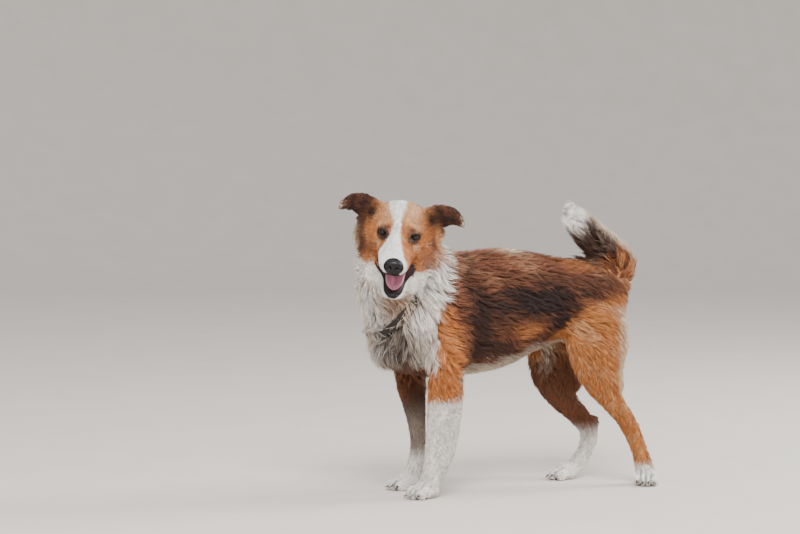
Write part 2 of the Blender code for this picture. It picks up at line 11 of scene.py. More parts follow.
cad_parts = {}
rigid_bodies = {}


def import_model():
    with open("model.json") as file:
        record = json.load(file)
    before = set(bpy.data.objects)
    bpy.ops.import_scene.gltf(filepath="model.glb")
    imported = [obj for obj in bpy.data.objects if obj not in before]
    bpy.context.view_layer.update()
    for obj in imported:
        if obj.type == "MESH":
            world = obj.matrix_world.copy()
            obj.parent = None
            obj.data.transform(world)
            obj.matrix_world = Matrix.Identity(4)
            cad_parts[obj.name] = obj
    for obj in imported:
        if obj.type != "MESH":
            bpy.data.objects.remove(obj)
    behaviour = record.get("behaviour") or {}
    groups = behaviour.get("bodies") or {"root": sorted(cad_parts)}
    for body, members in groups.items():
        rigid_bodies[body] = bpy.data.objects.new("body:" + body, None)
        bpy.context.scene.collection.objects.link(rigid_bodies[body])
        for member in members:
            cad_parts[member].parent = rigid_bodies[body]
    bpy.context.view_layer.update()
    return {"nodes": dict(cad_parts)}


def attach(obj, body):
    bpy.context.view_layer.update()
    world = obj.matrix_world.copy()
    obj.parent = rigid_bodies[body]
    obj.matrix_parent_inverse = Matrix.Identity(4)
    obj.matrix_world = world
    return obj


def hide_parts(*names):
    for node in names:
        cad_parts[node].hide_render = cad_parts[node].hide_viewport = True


for leftOver in list(bpy.data.objects):
    bpy.data.objects.remove(leftOver, do_unlink=True)
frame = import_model()
nodes = frame["nodes"]
random = np.random.default_rng(7)
sides = {"left": 1, "right": -1}
print("frame loaded:", len(nodes), "nodes")


# general tools: arrays of points are (count, 3), in metres, in the frame of the model

def unit(vectors):
    return vectors / np.maximum(np.linalg.norm(vectors, axis=-1, keepdims=True), 1e-9)


def smoothStep(low, high, values):
    # 0 below low, 1 above high, and a soft S between them; low may lie above high
    share = np.clip((values - low) / (high - low), 0, 1)
    return share * share * (3 - 2 * share)


def bell(points, centre, radii):
    # 1 at the centre, falling to 0.37 at an ellipsoid with these radii
    return np.exp(-(((points - np.array(centre)) / np.array(radii)) ** 2).sum(axis=-1))


def ripple(points, size, seed):
    # smooth noise between about -1 and 1: a sum of six sine waves of the given wavelength in odd directions
    made = np.random.default_rng(seed)
    total = 0
    for _ in range(6):
        direction = unit(made.normal(size=3)) * 2 * math.pi / (size * made.uniform(0.7, 1.4))
        total = total + np.sin(points @ direction + made.uniform(0, 6.3))
    return total / 2.4


def readArray(items, key, width, kind=np.float32):
    values = np.empty(len(items) * width, kind)
    items.foreach_get(key, values)
    return values.reshape(-1, width)


def meshPoints(mesh):
    return readArray(mesh.vertices, "co", 3).astype(float)


def meshNormals(mesh):
    return readArray(mesh.vertex_normals, "vector", 3).astype(float)


def meshEdges(mesh):
    return readArray(mesh.edges, "vertices", 2, np.int32)


def meshTriangles(mesh):
    mesh.calc_loop_triangles()
    return readArray(mesh.loop_triangles, "vertices", 3, np.int32)


def meshFrom(name, points, faces):
    # faces is an array of triangles or of quads
    mesh = bpy.data.meshes.new(name)
    sideCount = faces.shape[1]
    mesh.vertices.add(len(points))
    mesh.vertices.foreach_set("co", points.astype(np.float32).ravel())
    mesh.loops.add(faces.size)
    mesh.loops.foreach_set("vertex_index", faces.astype(np.int32).ravel())
    mesh.polygons.add(len(faces))
    mesh.polygons.foreach_set("loop_start", np.arange(0, faces.size, sideCount, dtype=np.int32))
    mesh.update(calc_edges=True)
    return mesh


def addPiece(name, mesh, material, replaced=()):
    piece = bpy.data.objects.new(name, mesh)
    bpy.context.scene.collection.objects.link(piece)
    mesh.materials.clear()
    mesh.materials.append(material)
    mesh.shade_smooth()
    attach(piece, "root")
    if replaced:
        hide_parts(*replaced)
    return piece


def gridFaces(rows, columns):
    # triangles of a grid of rows by columns whose last column joins the first
    row, column = np.meshgrid(np.arange(rows - 1), np.arange(columns), indexing="ij")
    after = (column + 1) % columns
    a, b = row * columns + column, row * columns + after
    c, d = a + columns, b + columns
    return np.stack([np.stack([a, b, d], -1), np.stack([a, d, c], -1)], axis=2).reshape(-1, 3)


def hoopFaces(rows, columns):
    # triangles of a tube that ends where it began
    closing = gridFaces(2, columns)
    closing = np.where(closing < columns, closing + (rows - 1) * columns, closing - columns)
    return np.vstack([gridFaces(rows, columns), closing])


def closedTube(rings):
    # points and triangles of a tube through rings (rows, columns, 3), closed by a fan at each end
    rows, columns = rings.shape[:2]
    points = np.vstack([rings.reshape(-1, 3), rings[0].mean(axis=0), rings[-1].mean(axis=0)])
    start, end = rows * columns, rows * columns + 1
    column = np.arange(columns)
    after = (column + 1) % columns
    last = (rows - 1) * columns
    first = np.stack([np.full(columns, start), after, column], -1)
    final = np.stack([np.full(columns, end), last + column, last + after], -1)
    return points, np.vstack([gridFaces(rows, columns), first, final])


def turns(count):
    # a whole turn in equal steps
    return np.linspace(0, 2 * math.pi, count, endpoint=False)


def ballWays(rows, columns, tip=0.05):
    # directions by turn from the z axis, which stops short of both poles, and turn about it
    off, about = np.linspace(tip, math.pi - tip, rows)[:, None], turns(columns)[None, :]
    return np.stack([np.sin(off) * np.cos(about), np.sin(off) * np.sin(about), np.cos(off) + 0 * about], -1)


def nearestOn(tree, points):
    # the nearest place on a tree's faces for each point, with its normal and its face
    found = [tree.find_nearest(point) for point in points.tolist()]
    return [np.array([one[k] for one in found]) for k in range(3)]


def softened(line, rounds):
    # the inner points of a line moved towards their neighbours, again and again
    for _ in range(rounds):
        line[1:-1] = (line[:-2] + 2 * line[1:-1] + line[2:]) / 4
    return line


def joined(parts):
    # one set of points and triangles from several
    points, faces, offset = [], [], 0
    for somePoints, someFaces in parts:
        points.append(somePoints)
        faces.append(someFaces + offset)
        offset += len(somePoints)
    return np.vstack(points), np.vstack(faces)


def outward(mesh):
    # turns the faces of a closed mesh to point outwards
    whole = bmesh.new()
    whole.from_mesh(mesh)
    bmesh.ops.recalc_face_normals(whole, faces=whole.faces)
    whole.to_mesh(mesh)
    whole.free()
    return mesh


def spreadOver(values, edges, rounds):
    # averages values over neighbouring points of a mesh, again and again
    a, b = edges.T
    count = len(values)
    degree = np.maximum(np.bincount(a, minlength=count) + np.bincount(b, minlength=count), 1)
    for _ in range(rounds):
        total = [np.bincount(a, values[b, k], count) + np.bincount(b, values[a, k], count)
                 for k in range(values.shape[1])]
        values = 0.5 * values + 0.5 * np.stack(total, -1) / degree[:, None]
    return values


def setColour(mesh, name, colours):
    # one colour, linear, for each point
    values = np.hstack([colours, np.ones((len(colours), 1))]).astype(np.float32)
    mesh.attributes.new(name, "FLOAT_COLOR", "POINT").data.foreach_set("color", values.ravel())


def setNumber(mesh, name, numbers):
    mesh.attributes.new(name, "FLOAT", "POINT").data.foreach_set("value", numbers.astype(np.float32))


def linear(colour):
    # screen colour, 0 to 255, to the linear one that shaders use
    share = np.array(colour, float) / 255
    return np.where(share <= 0.04045, share / 12.92, ((share + 0.055) / 1.055) ** 2.4)


def paint(*colour):
    # the same for a socket
    return (*linear(colour), 1)


# shaders: sums and products of sockets are written as plain expressions

class Signal:
    def __init__(self, tree, socket):
        self.tree = tree
        self.socket = socket

    def maths(self, operation, *others):
        node = self.tree.nodes.new("ShaderNodeMath")
        node.operation = operation
        for socket, value in zip(node.inputs, others):
            if isinstance(value, Signal):
                self.tree.links.new(value.socket, socket)
            else:
                socket.default_value = value
        return Signal(self.tree, node.outputs[0])

    def __add__(self, other):
        return self.maths("ADD", self, other)

    __radd__ = __add__

    def __sub__(self, other):
        return self.maths("SUBTRACT", self, other)

    def __rsub__(self, other):
        return self.maths("SUBTRACT", other, self)

    def __mul__(self, other):
        return self.maths("MULTIPLY", self, other)

    __rmul__ = __mul__

    def __truediv__(self, other):
        return self.maths("DIVIDE", self, other)

    def sine(self):
        return self.maths("SINE", self)


class Finish:
    # one material: its fixed values, and node() for everything that varies over the surface
    names = {"roughness": "Roughness", "specular": "Specular IOR Level", "coat": "Coat Weight",
             "coatRoughness": "Coat Roughness", "subsurface": "Subsurface Weight",
             "scatter": "Subsurface Scale"}

    def __init__(self, name, **fixed):
        self.material = bpy.data.materials.new(name)
        self.material.use_nodes = True
        self.tree = self.material.node_tree
        self.shader = self.tree.nodes["Principled BSDF"]
        for key, value in fixed.items():
            self.shader.inputs[self.names[key]].default_value = value

    def node(self, kind, settings=None, output=0, **values):
        # values are named by socket, spaces left out; a socket of an index is written as in3
        made = self.tree.nodes.new(kind)
        for key, value in (settings or {}).items():
            setattr(made, key, value)
        for key, value in values.items():
            if key[:2] == "in" and key[2:].isdigit():
                socket = made.inputs[int(key[2:])]
            else:
                socket = next(s for s in made.inputs if s.name.replace(" ", "") == key)
            if isinstance(value, Signal):
                self.tree.links.new(value.socket, socket)
            else:
                socket.default_value = value
        return Signal(self.tree, made.outputs[output])

    def noise(self, scale, detail=3):
        return self.node("ShaderNodeTexNoise", Vector=self.place(), Scale=scale, Detail=detail)

    def cells(self, scale, feature="F1"):
        return self.node("ShaderNodeTexVoronoi", {"feature": feature}, Vector=self.place(), Scale=scale)

    def mixColour(self, factor, first, second, how="MIX"):
        settings = {"data_type": "RGBA", "blend_type": how}
        return self.node("ShaderNodeMix", settings, 2, in0=factor, in6=first, in7=second)

    def shaded(self, colour, shade):
        # a colour made lighter or darker by a number
        grey = self.node("ShaderNodeCombineColor", Red=shade, Green=shade, Blue=shade)
        return self.mixColour(1.0, colour, grey, "MULTIPLY")

    def place(self):
        return self.node("ShaderNodeTexCoord", {}, 3)

    def attribute(self, name, output=0):
        return self.node("ShaderNodeAttribute", {"attribute_name": name}, output)

    def bump(self, height, strength, distance):
        self.link(self.node("ShaderNodeBump", Height=height, Strength=strength, Distance=distance), "Normal")

    def link(self, value, name):
        self.tree.links.new(value.socket, self.shader.inputs[name])


def grained(look, grain, dark, pale, strength, depth):
    # a finish whose colour runs between two with its grain, which also stands out in relief
    look.link(look.mixColour(grain, paint(*dark), paint(*pale)), "Base Color")
    look.bump(grain, strength, depth)
    return look.material


# the head's own axes, found from the eyes and the nose: x to the nose, y to the dog's left, z up
headShape = {
    "noseDrop": 14.42,  # degrees from the head's x axis down to the nose, seen from the eyes
    "eyeBack": 0.0095,  # how far the middles of the eyes lie behind the head's origin
    "jawHinge": (-0.062, 0.0, -0.036),
    "jawOpen": 19.0,
    "jawAside": 0.005,
    "eyeApart": 0.062,
}


def centreOf(name):
    return meshPoints(nodes[name].data).mean(axis=0)


def headAxes():
    leftEye, rightEye, nose = centreOf("left_eye"), centreOf("right_eye"), centreOf("nose")
    middle = (leftEye + rightEye) / 2
    left = unit(leftEye - rightEye)
    ahead = nose - middle
    ahead = unit(ahead - left * (ahead @ left))
    drop = math.radians(headShape["noseDrop"])
    forward = math.cos(drop) * ahead + math.sin(drop) * np.cross(ahead, left)
    axes = np.stack([forward, left, np.cross(forward, left)])
    return axes, middle + forward * headShape["eyeBack"]


headTurn, headOrigin = headAxes()


def toHead(points):
    return (points - headOrigin) @ headTurn.T


def fromHead(points):
    return points @ headTurn + headOrigin


def turnedJaw(points, degrees):
    # points turned down about the jaw's hinge
    hinge, turn = np.array(headShape["jawHinge"]), math.radians(degrees)
    x, y, z = np.moveaxis(points - hinge, -1, 0)
    ahead, up = math.cos(turn) * x + math.sin(turn) * z, math.cos(turn) * z - math.sin(turn) * x
    return np.stack([ahead, y, up], -1) + hinge


def jawToHead(points):
    # the jaw is drawn closed
    return turnedJaw(points, headShape["jawOpen"])


def headToJaw(points):
    return turnedJaw(points, -headShape["jawOpen"])


print("head axes", np.round(headTurn, 3).tolist(), np.round(headOrigin, 4).tolist())


# the collar's place: it lies in the coat, which flows over it but for a stretch below the throat

collarShape = {"at": (-0.02595, -0.19279, 0.448), "along": (0.0, -0.78, 0.62), "columns": 240, "around": 20,
               "thick": 0.0032, "share": 0.86, "corners": 0.35, "sunk": 0.0160, "sunkShowing": -0.0020,
               "shows": (-78.0, -24.0), "fade": 0.12, "veil": 0.45, "veilAt": -45.0, "veilWide": 0.16,
               "beside": 0.0025, "over": 0.0012, "mostOver": 0.012, "below": 0.006}
strapMiddle, strapAlong = np.array(collarShape["at"]), unit(np.array(collarShape["along"]))
strapAside = np.array([1.0, 0.0, 0.0])
strapUp = np.cross(strapAlong, strapAside)


def aroundStrap(points):
    # turn about the collar's axis, distance along it, and distance from it
    placed = points - strapMiddle
    along = placed @ strapAlong
    aside, up = placed @ strapAside, placed @ strapUp
    return np.arctan2(up, aside), along, np.hypot(up, aside)


ringPoints, ringNormals = meshPoints(nodes["collar"].data), meshNormals(nodes["collar"].data)
ringTurn, ringAlong, ringReach = aroundStrap(ringPoints)
ringHalf = np.abs(ringAlong).max()
strapHalf = ringHalf * collarShape["share"]


def outOfStrap(points, along):
    # the way out from the collar's axis
    return unit(points - strapMiddle - along[..., None] * strapAlong)


ringOutside = (ringNormals * outOfStrap(ringPoints, ringAlong)).sum(axis=1) > 0.1


def ringEdge(side):
    # turn and reach of the ring's outer edge on one side
    here = np.flatnonzero((ringAlong * side > 0) & ringOutside)
    here = here[np.argsort(ringTurn[here])]
    return ringTurn[here], ringReach[here]


ringLow, ringHigh = ringEdge(-1), ringEdge(1)


def ringOuter(turn, along):
    # reach of the ring's outer face
    share = np.clip(0.5 + 0.5 * along / ringHalf, 0, 1)
    low, high = (np.interp(turn, *edge, period=2 * math.pi) for edge in (ringLow, ringHigh))
    return low * (1 - share) + high * share


def strapStretch(turn):
    # 1 where the strap shows, 0 where the coat hides it
    low, high = (math.radians(end) for end in collarShape["shows"])
    fade = collarShape["fade"]
    return smoothStep(low - fade, low + fade, turn) * smoothStep(high + fade, high - fade, turn)


def strapShowing(turn):
    # some of the coat still crosses the strap in the middle of that stretch
    veil = np.exp(-(((turn - math.radians(collarShape["veilAt"])) / collarShape["veilWide"]) ** 2))
    return strapStretch(turn) * (1 - collarShape["veil"] * veil)


def strapTop(turn, along):
    # how far the outer face of the strap lies from its axis
    showing = strapStretch(turn)
    sunk = collarShape["sunk"] * (1 - showing) + collarShape["sunkShowing"] * showing
    return ringOuter(turn, along) - sunk


# eyes: the globe and the almond opening of its lids, each in the axes of the eye

eyeShape = {"radius": 0.0112, "bulge": 0.05, "bulgeWidth": 0.55, "gaze": (0.885, -0.455, 0.05), "rows": 36,
            "columns": 40, "pupil": 0.0045}
lidShape = {"outer": 0.0110, "inner": 0.0099, "upper": 0.0066, "lower": 0.0051, "over": 0.0007,
            "width": 0.0034, "columns": 56, "rows": 12, "roll": 0.0010, "fold": 0.0009, "thick": 0.0016,
            "aimAside": 0.24, "aimUp": 0.02, "tilt": 7.0, "sunk": 0.0009, "cover": 0.0012,
            "foldAt": 0.52, "foldWide": 0.10, "tucks": ((0.97, -0.0012), (0.95, -0.0028))}


def eyeAxes(side):
    # the eye's middle, the way out through the lids, the way to the outer corner and the way up
    sign = sides[side]
    out = unit(np.array([1.0, lidShape["aimAside"] * sign, lidShape["aimUp"]]) @ headTurn)
    across = unit(np.cross(headTurn[2], out)) * sign
    upward = np.cross(out, across) * sign
    tilt = math.radians(lidShape["tilt"])
    across, upward = (across * math.cos(tilt) + upward * math.sin(tilt),
                      upward * math.cos(tilt) - across * math.sin(tilt))
    return centreOf(side + "_eye"), out, across, upward


def lidReach(x, y):
    # half the opening's width and height towards a place
    return (np.where(x > 0, lidShape["outer"], lidShape["inner"]),
            np.where(y > 0, lidShape["upper"], lidShape["lower"]))


def almond(points, side):
    # below 1 inside the opening of the lids, above 1 around it
    centre, out, across, upward = eyeAxes(side)
    x, y, z = ((points - centre) @ way for way in (across, upward, out))
    wide, high = lidReach(x, y)
    return np.where(z > 0.2 * eyeShape["radius"], np.hypot(x / wide, y / high), 9.0)


# the skin: copies of the parts of flesh, melted together and thinned

skinShape = {"weld": 0.00002, "swell": 0.0004, "fill": 0.0060, "fillAside": 0.0010, "outerFace": 0.0015,
             "voxel": 0.0019, "smoothing": 7, "triangles": 150000}
fleshNames = ["head", "left_ear", "right_ear", "neck", "trunk", "tail",
              "left_foreleg", "right_foreleg", "left_hind_leg", "right_hind_leg"]


def fleshCopies():
    parts, labels = [], []
    for label, name in enumerate(fleshNames + ["collar"]):
        copy = bmesh.new()
        copy.from_mesh(nodes[name].data)
        bmesh.ops.remove_doubles(copy, verts=copy.verts, dist=skinShape["weld"])
        mesh = bpy.data.meshes.new("copy")
        copy.to_mesh(mesh)
        copy.free()
        faces = meshTriangles(mesh)
        points = meshPoints(mesh)
        if name == "collar":  # grown out to the coat on either side of it
            turn, along, reach = aroundStrap(points)
            outside = reach > ringOuter(turn, along) - skinShape["outerFace"]
            points = points + outOfStrap(points, along) * (outside * skinShape["fill"])[:, None]
            points = points + np.sign(along)[:, None] * strapAlong * skinShape["fillAside"]
        parts.append((points + meshNormals(mesh) * skinShape["swell"], faces))
        labels.append(np.full(len(faces), label))
        bpy.data.meshes.remove(mesh)
    ball = eyeShape["radius"] + lidShape["over"] + lidShape["cover"]
    for side in sides:
        parts.append(closedTube(centreOf(side + "_eye") + ball * ballWays(24, 32)))
        labels.append(np.zeros(len(parts[-1][1]), int))
    points, faces = joined(parts)
    return points, faces, np.concatenate(labels)


def meltedSkin(points, faces):
    raw = bpy.data.objects.new("raw", meshFrom("raw", points, faces))
    bpy.context.scene.collection.objects.link(raw)
    melt = raw.modifiers.new("melt", "REMESH")
    melt.mode = "VOXEL"
    melt.voxel_size = skinShape["voxel"]
    soften = raw.modifiers.new("soften", "SMOOTH")
    soften.factor = 0.5
    soften.iterations = skinShape["smoothing"]
    graph = bpy.context.evaluated_depsgraph_get()
    dense = bpy.data.meshes.new_from_object(raw.evaluated_get(graph))
    raw.modifiers.clear()
    raw.data = dense
    thin = raw.modifiers.new("thin", "DECIMATE")
    thin.ratio = min(1, skinShape["triangles"] / (2 * len(dense.polygons)))
    graph = bpy.context.evaluated_depsgraph_get()
    mesh = bpy.data.meshes.new_from_object(raw.evaluated_get(graph))
    bpy.data.objects.remove(raw, do_unlink=True)
    return mesh


rawPoints, rawFaces, rawLabels = fleshCopies()
skinMesh = meltedSkin(rawPoints, rawFaces)
outline = meshPoints(skinMesh)  # out to the tips of the coat
outlineNormals = meshNormals(skinMesh)
skinEdges = meshEdges(skinMesh)
skinTriangles = meshTriangles(skinMesh)
print("skin:", len(outline), "points,", len(skinTriangles), "triangles")

rawTree = BVHTree.FromPolygons(rawPoints.tolist(), rawFaces.tolist())
labels = rawLabels[nearestOn(rawTree, outline)[2]]
labels[labels == len(fleshNames)] = fleshNames.index("neck")
regions = spreadOver(np.eye(len(fleshNames))[labels], skinEdges, 14)  # soft share of each part
hardRegion = regions.argmax(axis=1)


def share(*names):
    return sum(regions[:, fleshNames.index(name)] for name in names)


# how thick the flesh is under each point, so that the coat's depth never turns a thin part inside out
skinTree = BVHTree.FromPolygons(outline.tolist(), skinTriangles.tolist())
inside, thickest = outline - outlineNormals * 0.0006, 0.3
casts = [skinTree.ray_cast(*start, thickest)[3] for start in zip(inside.tolist(), (-outlineNormals).tolist())]
thickness = np.array([thickest if found is None else found for found in casts])
thickness = spreadOver(thickness[:, None], skinEdges, 6)[:, 0]
print("regions and thickness found")


# markings: soft masks worked out from places on the body, in the model's frame or the head's own

palette = {
    "white": (244, 240, 234),
    "cream": (226, 206, 180),
    "grey": (176, 162, 148),
    "peach": (214, 172, 132),
    "orange": (196, 122, 66),
    "tan": (188, 122, 70),
    "rust": (134, 84, 60),
    "brown": (98, 62, 46),
    "dark": (54, 40, 37),
    # grey brown: painted shade on the inner side of the near foreleg, and a coat colour elsewhere
    "dirt": (112, 96, 84),
    "lip": (27, 19, 19),
    "gum": (104, 58, 62),
}
blaze = {"at": (-0.110, -0.047, -0.010, 0.020, 0.032, 0.048, 0.078, 0.088, 0.094),  # along the head
         "left": (0.016, 0.007, 0.002, 0.004, 0.007, 0.011, 0.019, 0.032, 0.080),
         "right": (0.034, 0.029, 0.0135, 0.0195, 0.031, 0.080, 0.080, 0.080, 0.080)}
ruff = {"height": (0.250, 0.302, 0.339, 0.370, 0.402, 0.426, 0.463, 0.510, 0.550),
        "edge": (-0.192, -0.188, -0.182, -0.172, -0.157, -0.141, -0.128, -0.112, -0.110)}


def mixed(colours, mask, name, amount=1.0):
    weight = np.clip(mask * amount, 0, 1)[:, None]
    return colours * (1 - weight) + linear(palette[name]) * weight


def layered(points, base, *layers):
    # a base colour under soft layers: each a mask, the name of its colour and its weight
    colour = np.tile(linear(palette[base]), (len(points), 1))
    for layer in layers:
        colour = mixed(colour, *layer)
    return colour


facePatches = {
    # whether on both sides, colour and weight of each soft patch, its middle and its reach in the head's axes
    "cheeks": (True, "rust", 0.75, (-0.020, 0.060, -0.042), (0.034, 0.026, 0.016)),
    "left of muzzle": (False, "rust", 0.65, (0.050, 0.034, -0.032), (0.030, 0.014, 0.014)),
    "forehead": (True, "peach", 0.95, (-0.042, 0.022, 0.040), (0.040, 0.024, 0.022)),
    "brows": (True, "peach", 0.45, (-0.010, 0.040, 0.016), (0.022, 0.016, 0.009)),
    "right jowl": (False, "brown", 1.25, (-0.048, -0.078, -0.050), (0.026, 0.013, 0.030)),
    "below right ear": (False, "brown", 1.2, (-0.063, -0.088, -0.010), (0.020, 0.016, 0.030)),
    "before left ear": (False, "brown", 1.15, (-0.038, 0.080, -0.016), (0.014, 0.011, 0.026)),
    "left jowl": (False, "rust", 1.1, (-0.006, 0.070, -0.056), (0.028, 0.016, 0.015)),
    "roots of ears": (True, "dark", 1.2, (-0.062, 0.064, 0.020), (0.020, 0.016, 0.020)),
    "behind cheeks": (True, "cream", 1.0, (-0.092, 0.100, -0.050), (0.022, 0.016, 0.050)),
    "above eyes": (True, "brown", 1.3, (-0.002, 0.027, 0.0150), (0.010, 0.0100, 0.0055)),
    "below eyes": (True, "cream", 0.45, (0.006, 0.039, -0.019), (0.012, 0.012, 0.0055)),
}


def headColour(points, ragged):
    head = toHead(points)
    x, y, z = head.T
    mirrored = np.stack([x, np.abs(y), z], -1)
    patchy = ripple(points, 0.022, 31)
    patches = [(bell(mirrored if both else head, middle, reach), name, weight)
               for both, name, weight, middle, reach in facePatches.values()]
    eye = np.linalg.norm((mirrored - (-0.002, headShape["eyeApart"] / 2, 0.0)) * (0.5, 0.80, 1.20), axis=1)
    half = np.where(y > 0, *(np.interp(x, blaze["at"], blaze[side]) for side in sides))
    wrapped = smoothStep(-0.052, -0.036, z + 0.9 * np.maximum(x - 0.02, 0) + 0.05 * (y < 0) * (x > 0.02))
    jaw = headToJaw(head)
    under = smoothStep(-0.040, -0.047, jaw[:, 2] + 0.002 * ragged) * smoothStep(-0.01, 0.01, x)
    low = z + 0.35 * np.maximum(x - 0.03, 0) + 0.003 * ragged
    return layered(
        points, "orange",
        (0.35 * smoothStep(-0.2, 0.9, patchy), "rust"),
        (0.35 * smoothStep(0.2, 0.9, -patchy), "peach"),
        *patches,
        (smoothStep(0.0180, 0.0122, eye + 0.001 * ragged), "dark", 0.9),
        (smoothStep(0.0025, -0.0025, np.abs(y) - half + 0.0016 * ragged) * wrapped, "white"),
        (smoothStep(0.088, 0.094, x + 0.002 * ragged), "white"),
        (under, "white", 0.95),
        (smoothStep(-0.070, -0.080, low), "white", 0.92))


flanks = {
    # colour and weight of each soft patch of the sides, its middle and reach in y and z, how streaky it is
    "ribs": ("brown", 0.90, (-0.025, 0.385), (0.085, 0.066), 0.35),
    "withers": ("brown", 0.80, (-0.075, 0.440), (0.040, 0.040), 0.40),
    "back": ("brown", 0.75, (0.090, 0.452), (0.100, 0.020), 0.50),
    "rump": ("brown", 0.95, (0.205, 0.432), (0.066, 0.034), 0.40),
    "behind shoulder": ("dark", 0.85, (-0.078, 0.355), (0.030, 0.080), 0.30),
    "fore ribs": ("dark", 0.60, (-0.050, 0.400), (0.050, 0.044), 0.45),
    "low flank": ("dark", 0.80, (-0.045, 0.305), (0.066, 0.026), 0.25),
    "groin": ("brown", 0.85, (0.085, 0.318), (0.040, 0.022), 0.25),
    "saddle": ("dark", 1.25, (0.070, 0.407), (0.108, 0.041), 0.34),
    "saddle end": ("dark", 1.00, (0.118, 0.366), (0.036, 0.036), 0.30),
    "flank": ("tan", 0.60, (0.042, 0.342), (0.044, 0.017), 0.34),
}
chest = {
    # colour and weight, middle and reach, then how full and how ragged each patch is
    # painted shade under the chin
    "below throat": ("tan", 0.65, (0.045, -0.268, 0.405), (0.040, 0.050, 0.036), 1.0, 0.0),
    # greyish brown low on the chest
    "dust": ("dirt", 1.0, (0.026, -0.256, 0.310), (0.046, 0.058, 0.044), 1.35, 0.5),
    # painted shade low on the chest, between the forelegs
    "soot": ("dark", 0.6, (0.024, -0.246, 0.290), (0.034, 0.050, 0.032), 1.0, 0.5),
}
bodyLines = {
    # height of the thigh's top and of the belly's edge along the body, the belly's half width, the back edge
    # of the shoulder by height, and the dark line behind it
    "thigh": ((0.100, 0.136, 0.182, 0.216, 0.241, 0.27), (0.318, 0.350, 0.392, 0.403, 0.408, 0.408)),
    "belly": ((-0.12, -0.05, 0.03, 0.10, 0.16), (0.270, 0.283, 0.297, 0.316, 0.330)),
    "bellyHalf": ((0.02, 0.07, 0.12), (0.088, 0.070, 0.044)),
    "shoulder": ((0.25, 0.286, 0.338, 0.390, 0.405), (-0.112, -0.119, -0.130, -0.142, -0.156)),
    "dark": ((0.400, 0.453, 0.489), (-0.095, -0.103, -0.072)),
}


def bodyColour(points, ragged):
    x, y, z = points.T
    drawn = points * (1.0, 0.45, 1.0)  # streaks are longer along the body
    streak = 0.55 * ripple(drawn, 0.024, 21) + 0.45 * ragged
    wide = ripple(points, 0.07, 22)
    sidePatches = []
    for name, weight, middle, reach, streaky in flanks.values():
        patch = bell(points[:, 1:], middle, reach) + 0.6 * streaky * streak
        sidePatches.append((smoothStep(0.22, 0.78, patch), name, weight))
    dark = np.exp(-(((y - np.interp(z, *bodyLines["dark"])) / 0.008) ** 2)) * smoothStep(0.39, 0.41, z)
    topLine = smoothStep(0.462, 0.478, z + 0.004 * ragged) * smoothStep(0.12, 0.16, y)
    # a cream patch on top of the back, partly the coat's own cream and partly painted highlight
    creamAndHighlight = bell(points[:, :2], (-0.004, 0.044), (0.022, 0.028)) * smoothStep(0.496, 0.506, z)
    thigh = smoothStep(0.006, -0.010, z - np.interp(y, *bodyLines["thigh"]) + 0.007 * streak)
    thigh = thigh * smoothStep(0.085, 0.125, y)
    fringe = smoothStep(0.248, 0.272, y + 0.006 * ragged) * smoothStep(0.40, 0.36, z)
    shoulder = smoothStep(0.006, -0.006, y - np.interp(z, *bodyLines["shoulder"]) + 0.006 * streak)
    shoulder = shoulder * smoothStep(0.412, 0.398, z + 0.005 * ragged)
    farSide = smoothStep(-0.02, -0.045, x + 0.006 * ragged) * smoothStep(0.285, 0.262, z)
    belly = smoothStep(0.003, -0.006, z - np.interp(y, *bodyLines["belly"]) + 0.006 + 0.011 * streak)
    belly = belly * smoothStep(-0.135, -0.11, y) * smoothStep(0.19, 0.15, y)
    belly = belly * smoothStep(0.006, -0.006, np.abs(x) - np.interp(y, *bodyLines["bellyHalf"]))
    edge = np.interp(z, ruff["height"], ruff["edge"])
    white = smoothStep(0.005, -0.005, y - edge + 0.005 * streak) * smoothStep(0.245, 0.275, z)
    nape = smoothStep(0.525, 0.560, z) * smoothStep(-0.23, -0.18, y)
    nape = nape * smoothStep(0.070, 0.045, np.abs(x - 0.01))
    front = smoothStep(-0.20, -0.23, y) * 0.22 * smoothStep(-0.2, 0.8, wide)
    chestPatches = [(bell(points, middle, reach) * (full + rough * ragged), name, weight)
                    for name, weight, middle, reach, full, rough in chest.values()]
    # painted shade: brown under the chest, between the forelegs
    brisketShade = smoothStep(0.285, 0.258, z) * smoothStep(-0.10, -0.13, y)
    brisketShade = brisketShade * smoothStep(0.045, 0.020, np.abs(x + 0.005))
    return layered(
        points, "rust",
        (smoothStep(0.0, 1.0, wide + 0.6 * streak) * smoothStep(0.43, 0.47, z), "peach", 0.28),
        (smoothStep(0.1, 1.0, -wide + 0.6 * streak), "brown", 0.55),
        *sidePatches,
        (dark, "dark", 0.6),
        (topLine, "orange", 0.35),
        (creamAndHighlight * (1 + 0.5 * streak), "cream", 0.95),
        (thigh, "tan"),
        (thigh * smoothStep(0.1, 0.9, wide + 0.5 * streak), "peach", 0.35),
        (fringe, "cream", 0.9),
        (shoulder, "orange"),
        (shoulder * smoothStep(0.0, 0.9, streak), "peach", 0.25),
        (shoulder * farSide, "brown", 0.85),
        (belly, "grey"),
        (belly * smoothStep(0.06, 0.03, np.abs(x)), "cream", 0.45),
        (white * (1 - 0.95 * nape), "white"),
        (white * (1 - nape) * smoothStep(-1.0, 1.0, wide + 0.5 * streak), "cream", 0.5),
        (front, "peach"),
        *chestPatches,
        (brisketShade, "brown", 0.9))


def leftForeColour(points, ragged):
    x, y, z = points.T
    patchy = ripple(points, 0.020, 41) + 0.4 * ragged
    inside = smoothStep(0.052, 0.036, x + 0.004 * ragged)
    cuff = 0.203 + 0.05 * (y + 0.165)
    return layered(
        points, "orange",
        (0.4 * smoothStep(0.0, 0.9, patchy), "peach"),
        # painted shade: grey brown on the inner side of the upper leg, facing the other leg
        (inside * smoothStep(0.205, 0.225, z), "dirt", 0.9),
        (inside * smoothStep(0.225, 0.205, z), "white", 0.85),
        (smoothStep(0.006, -0.004, z - cuff + 0.004 * ragged), "white"),
        (0.30 * smoothStep(0.1, 1.0, patchy) * smoothStep(0.21, 0.19, z), "grey"))


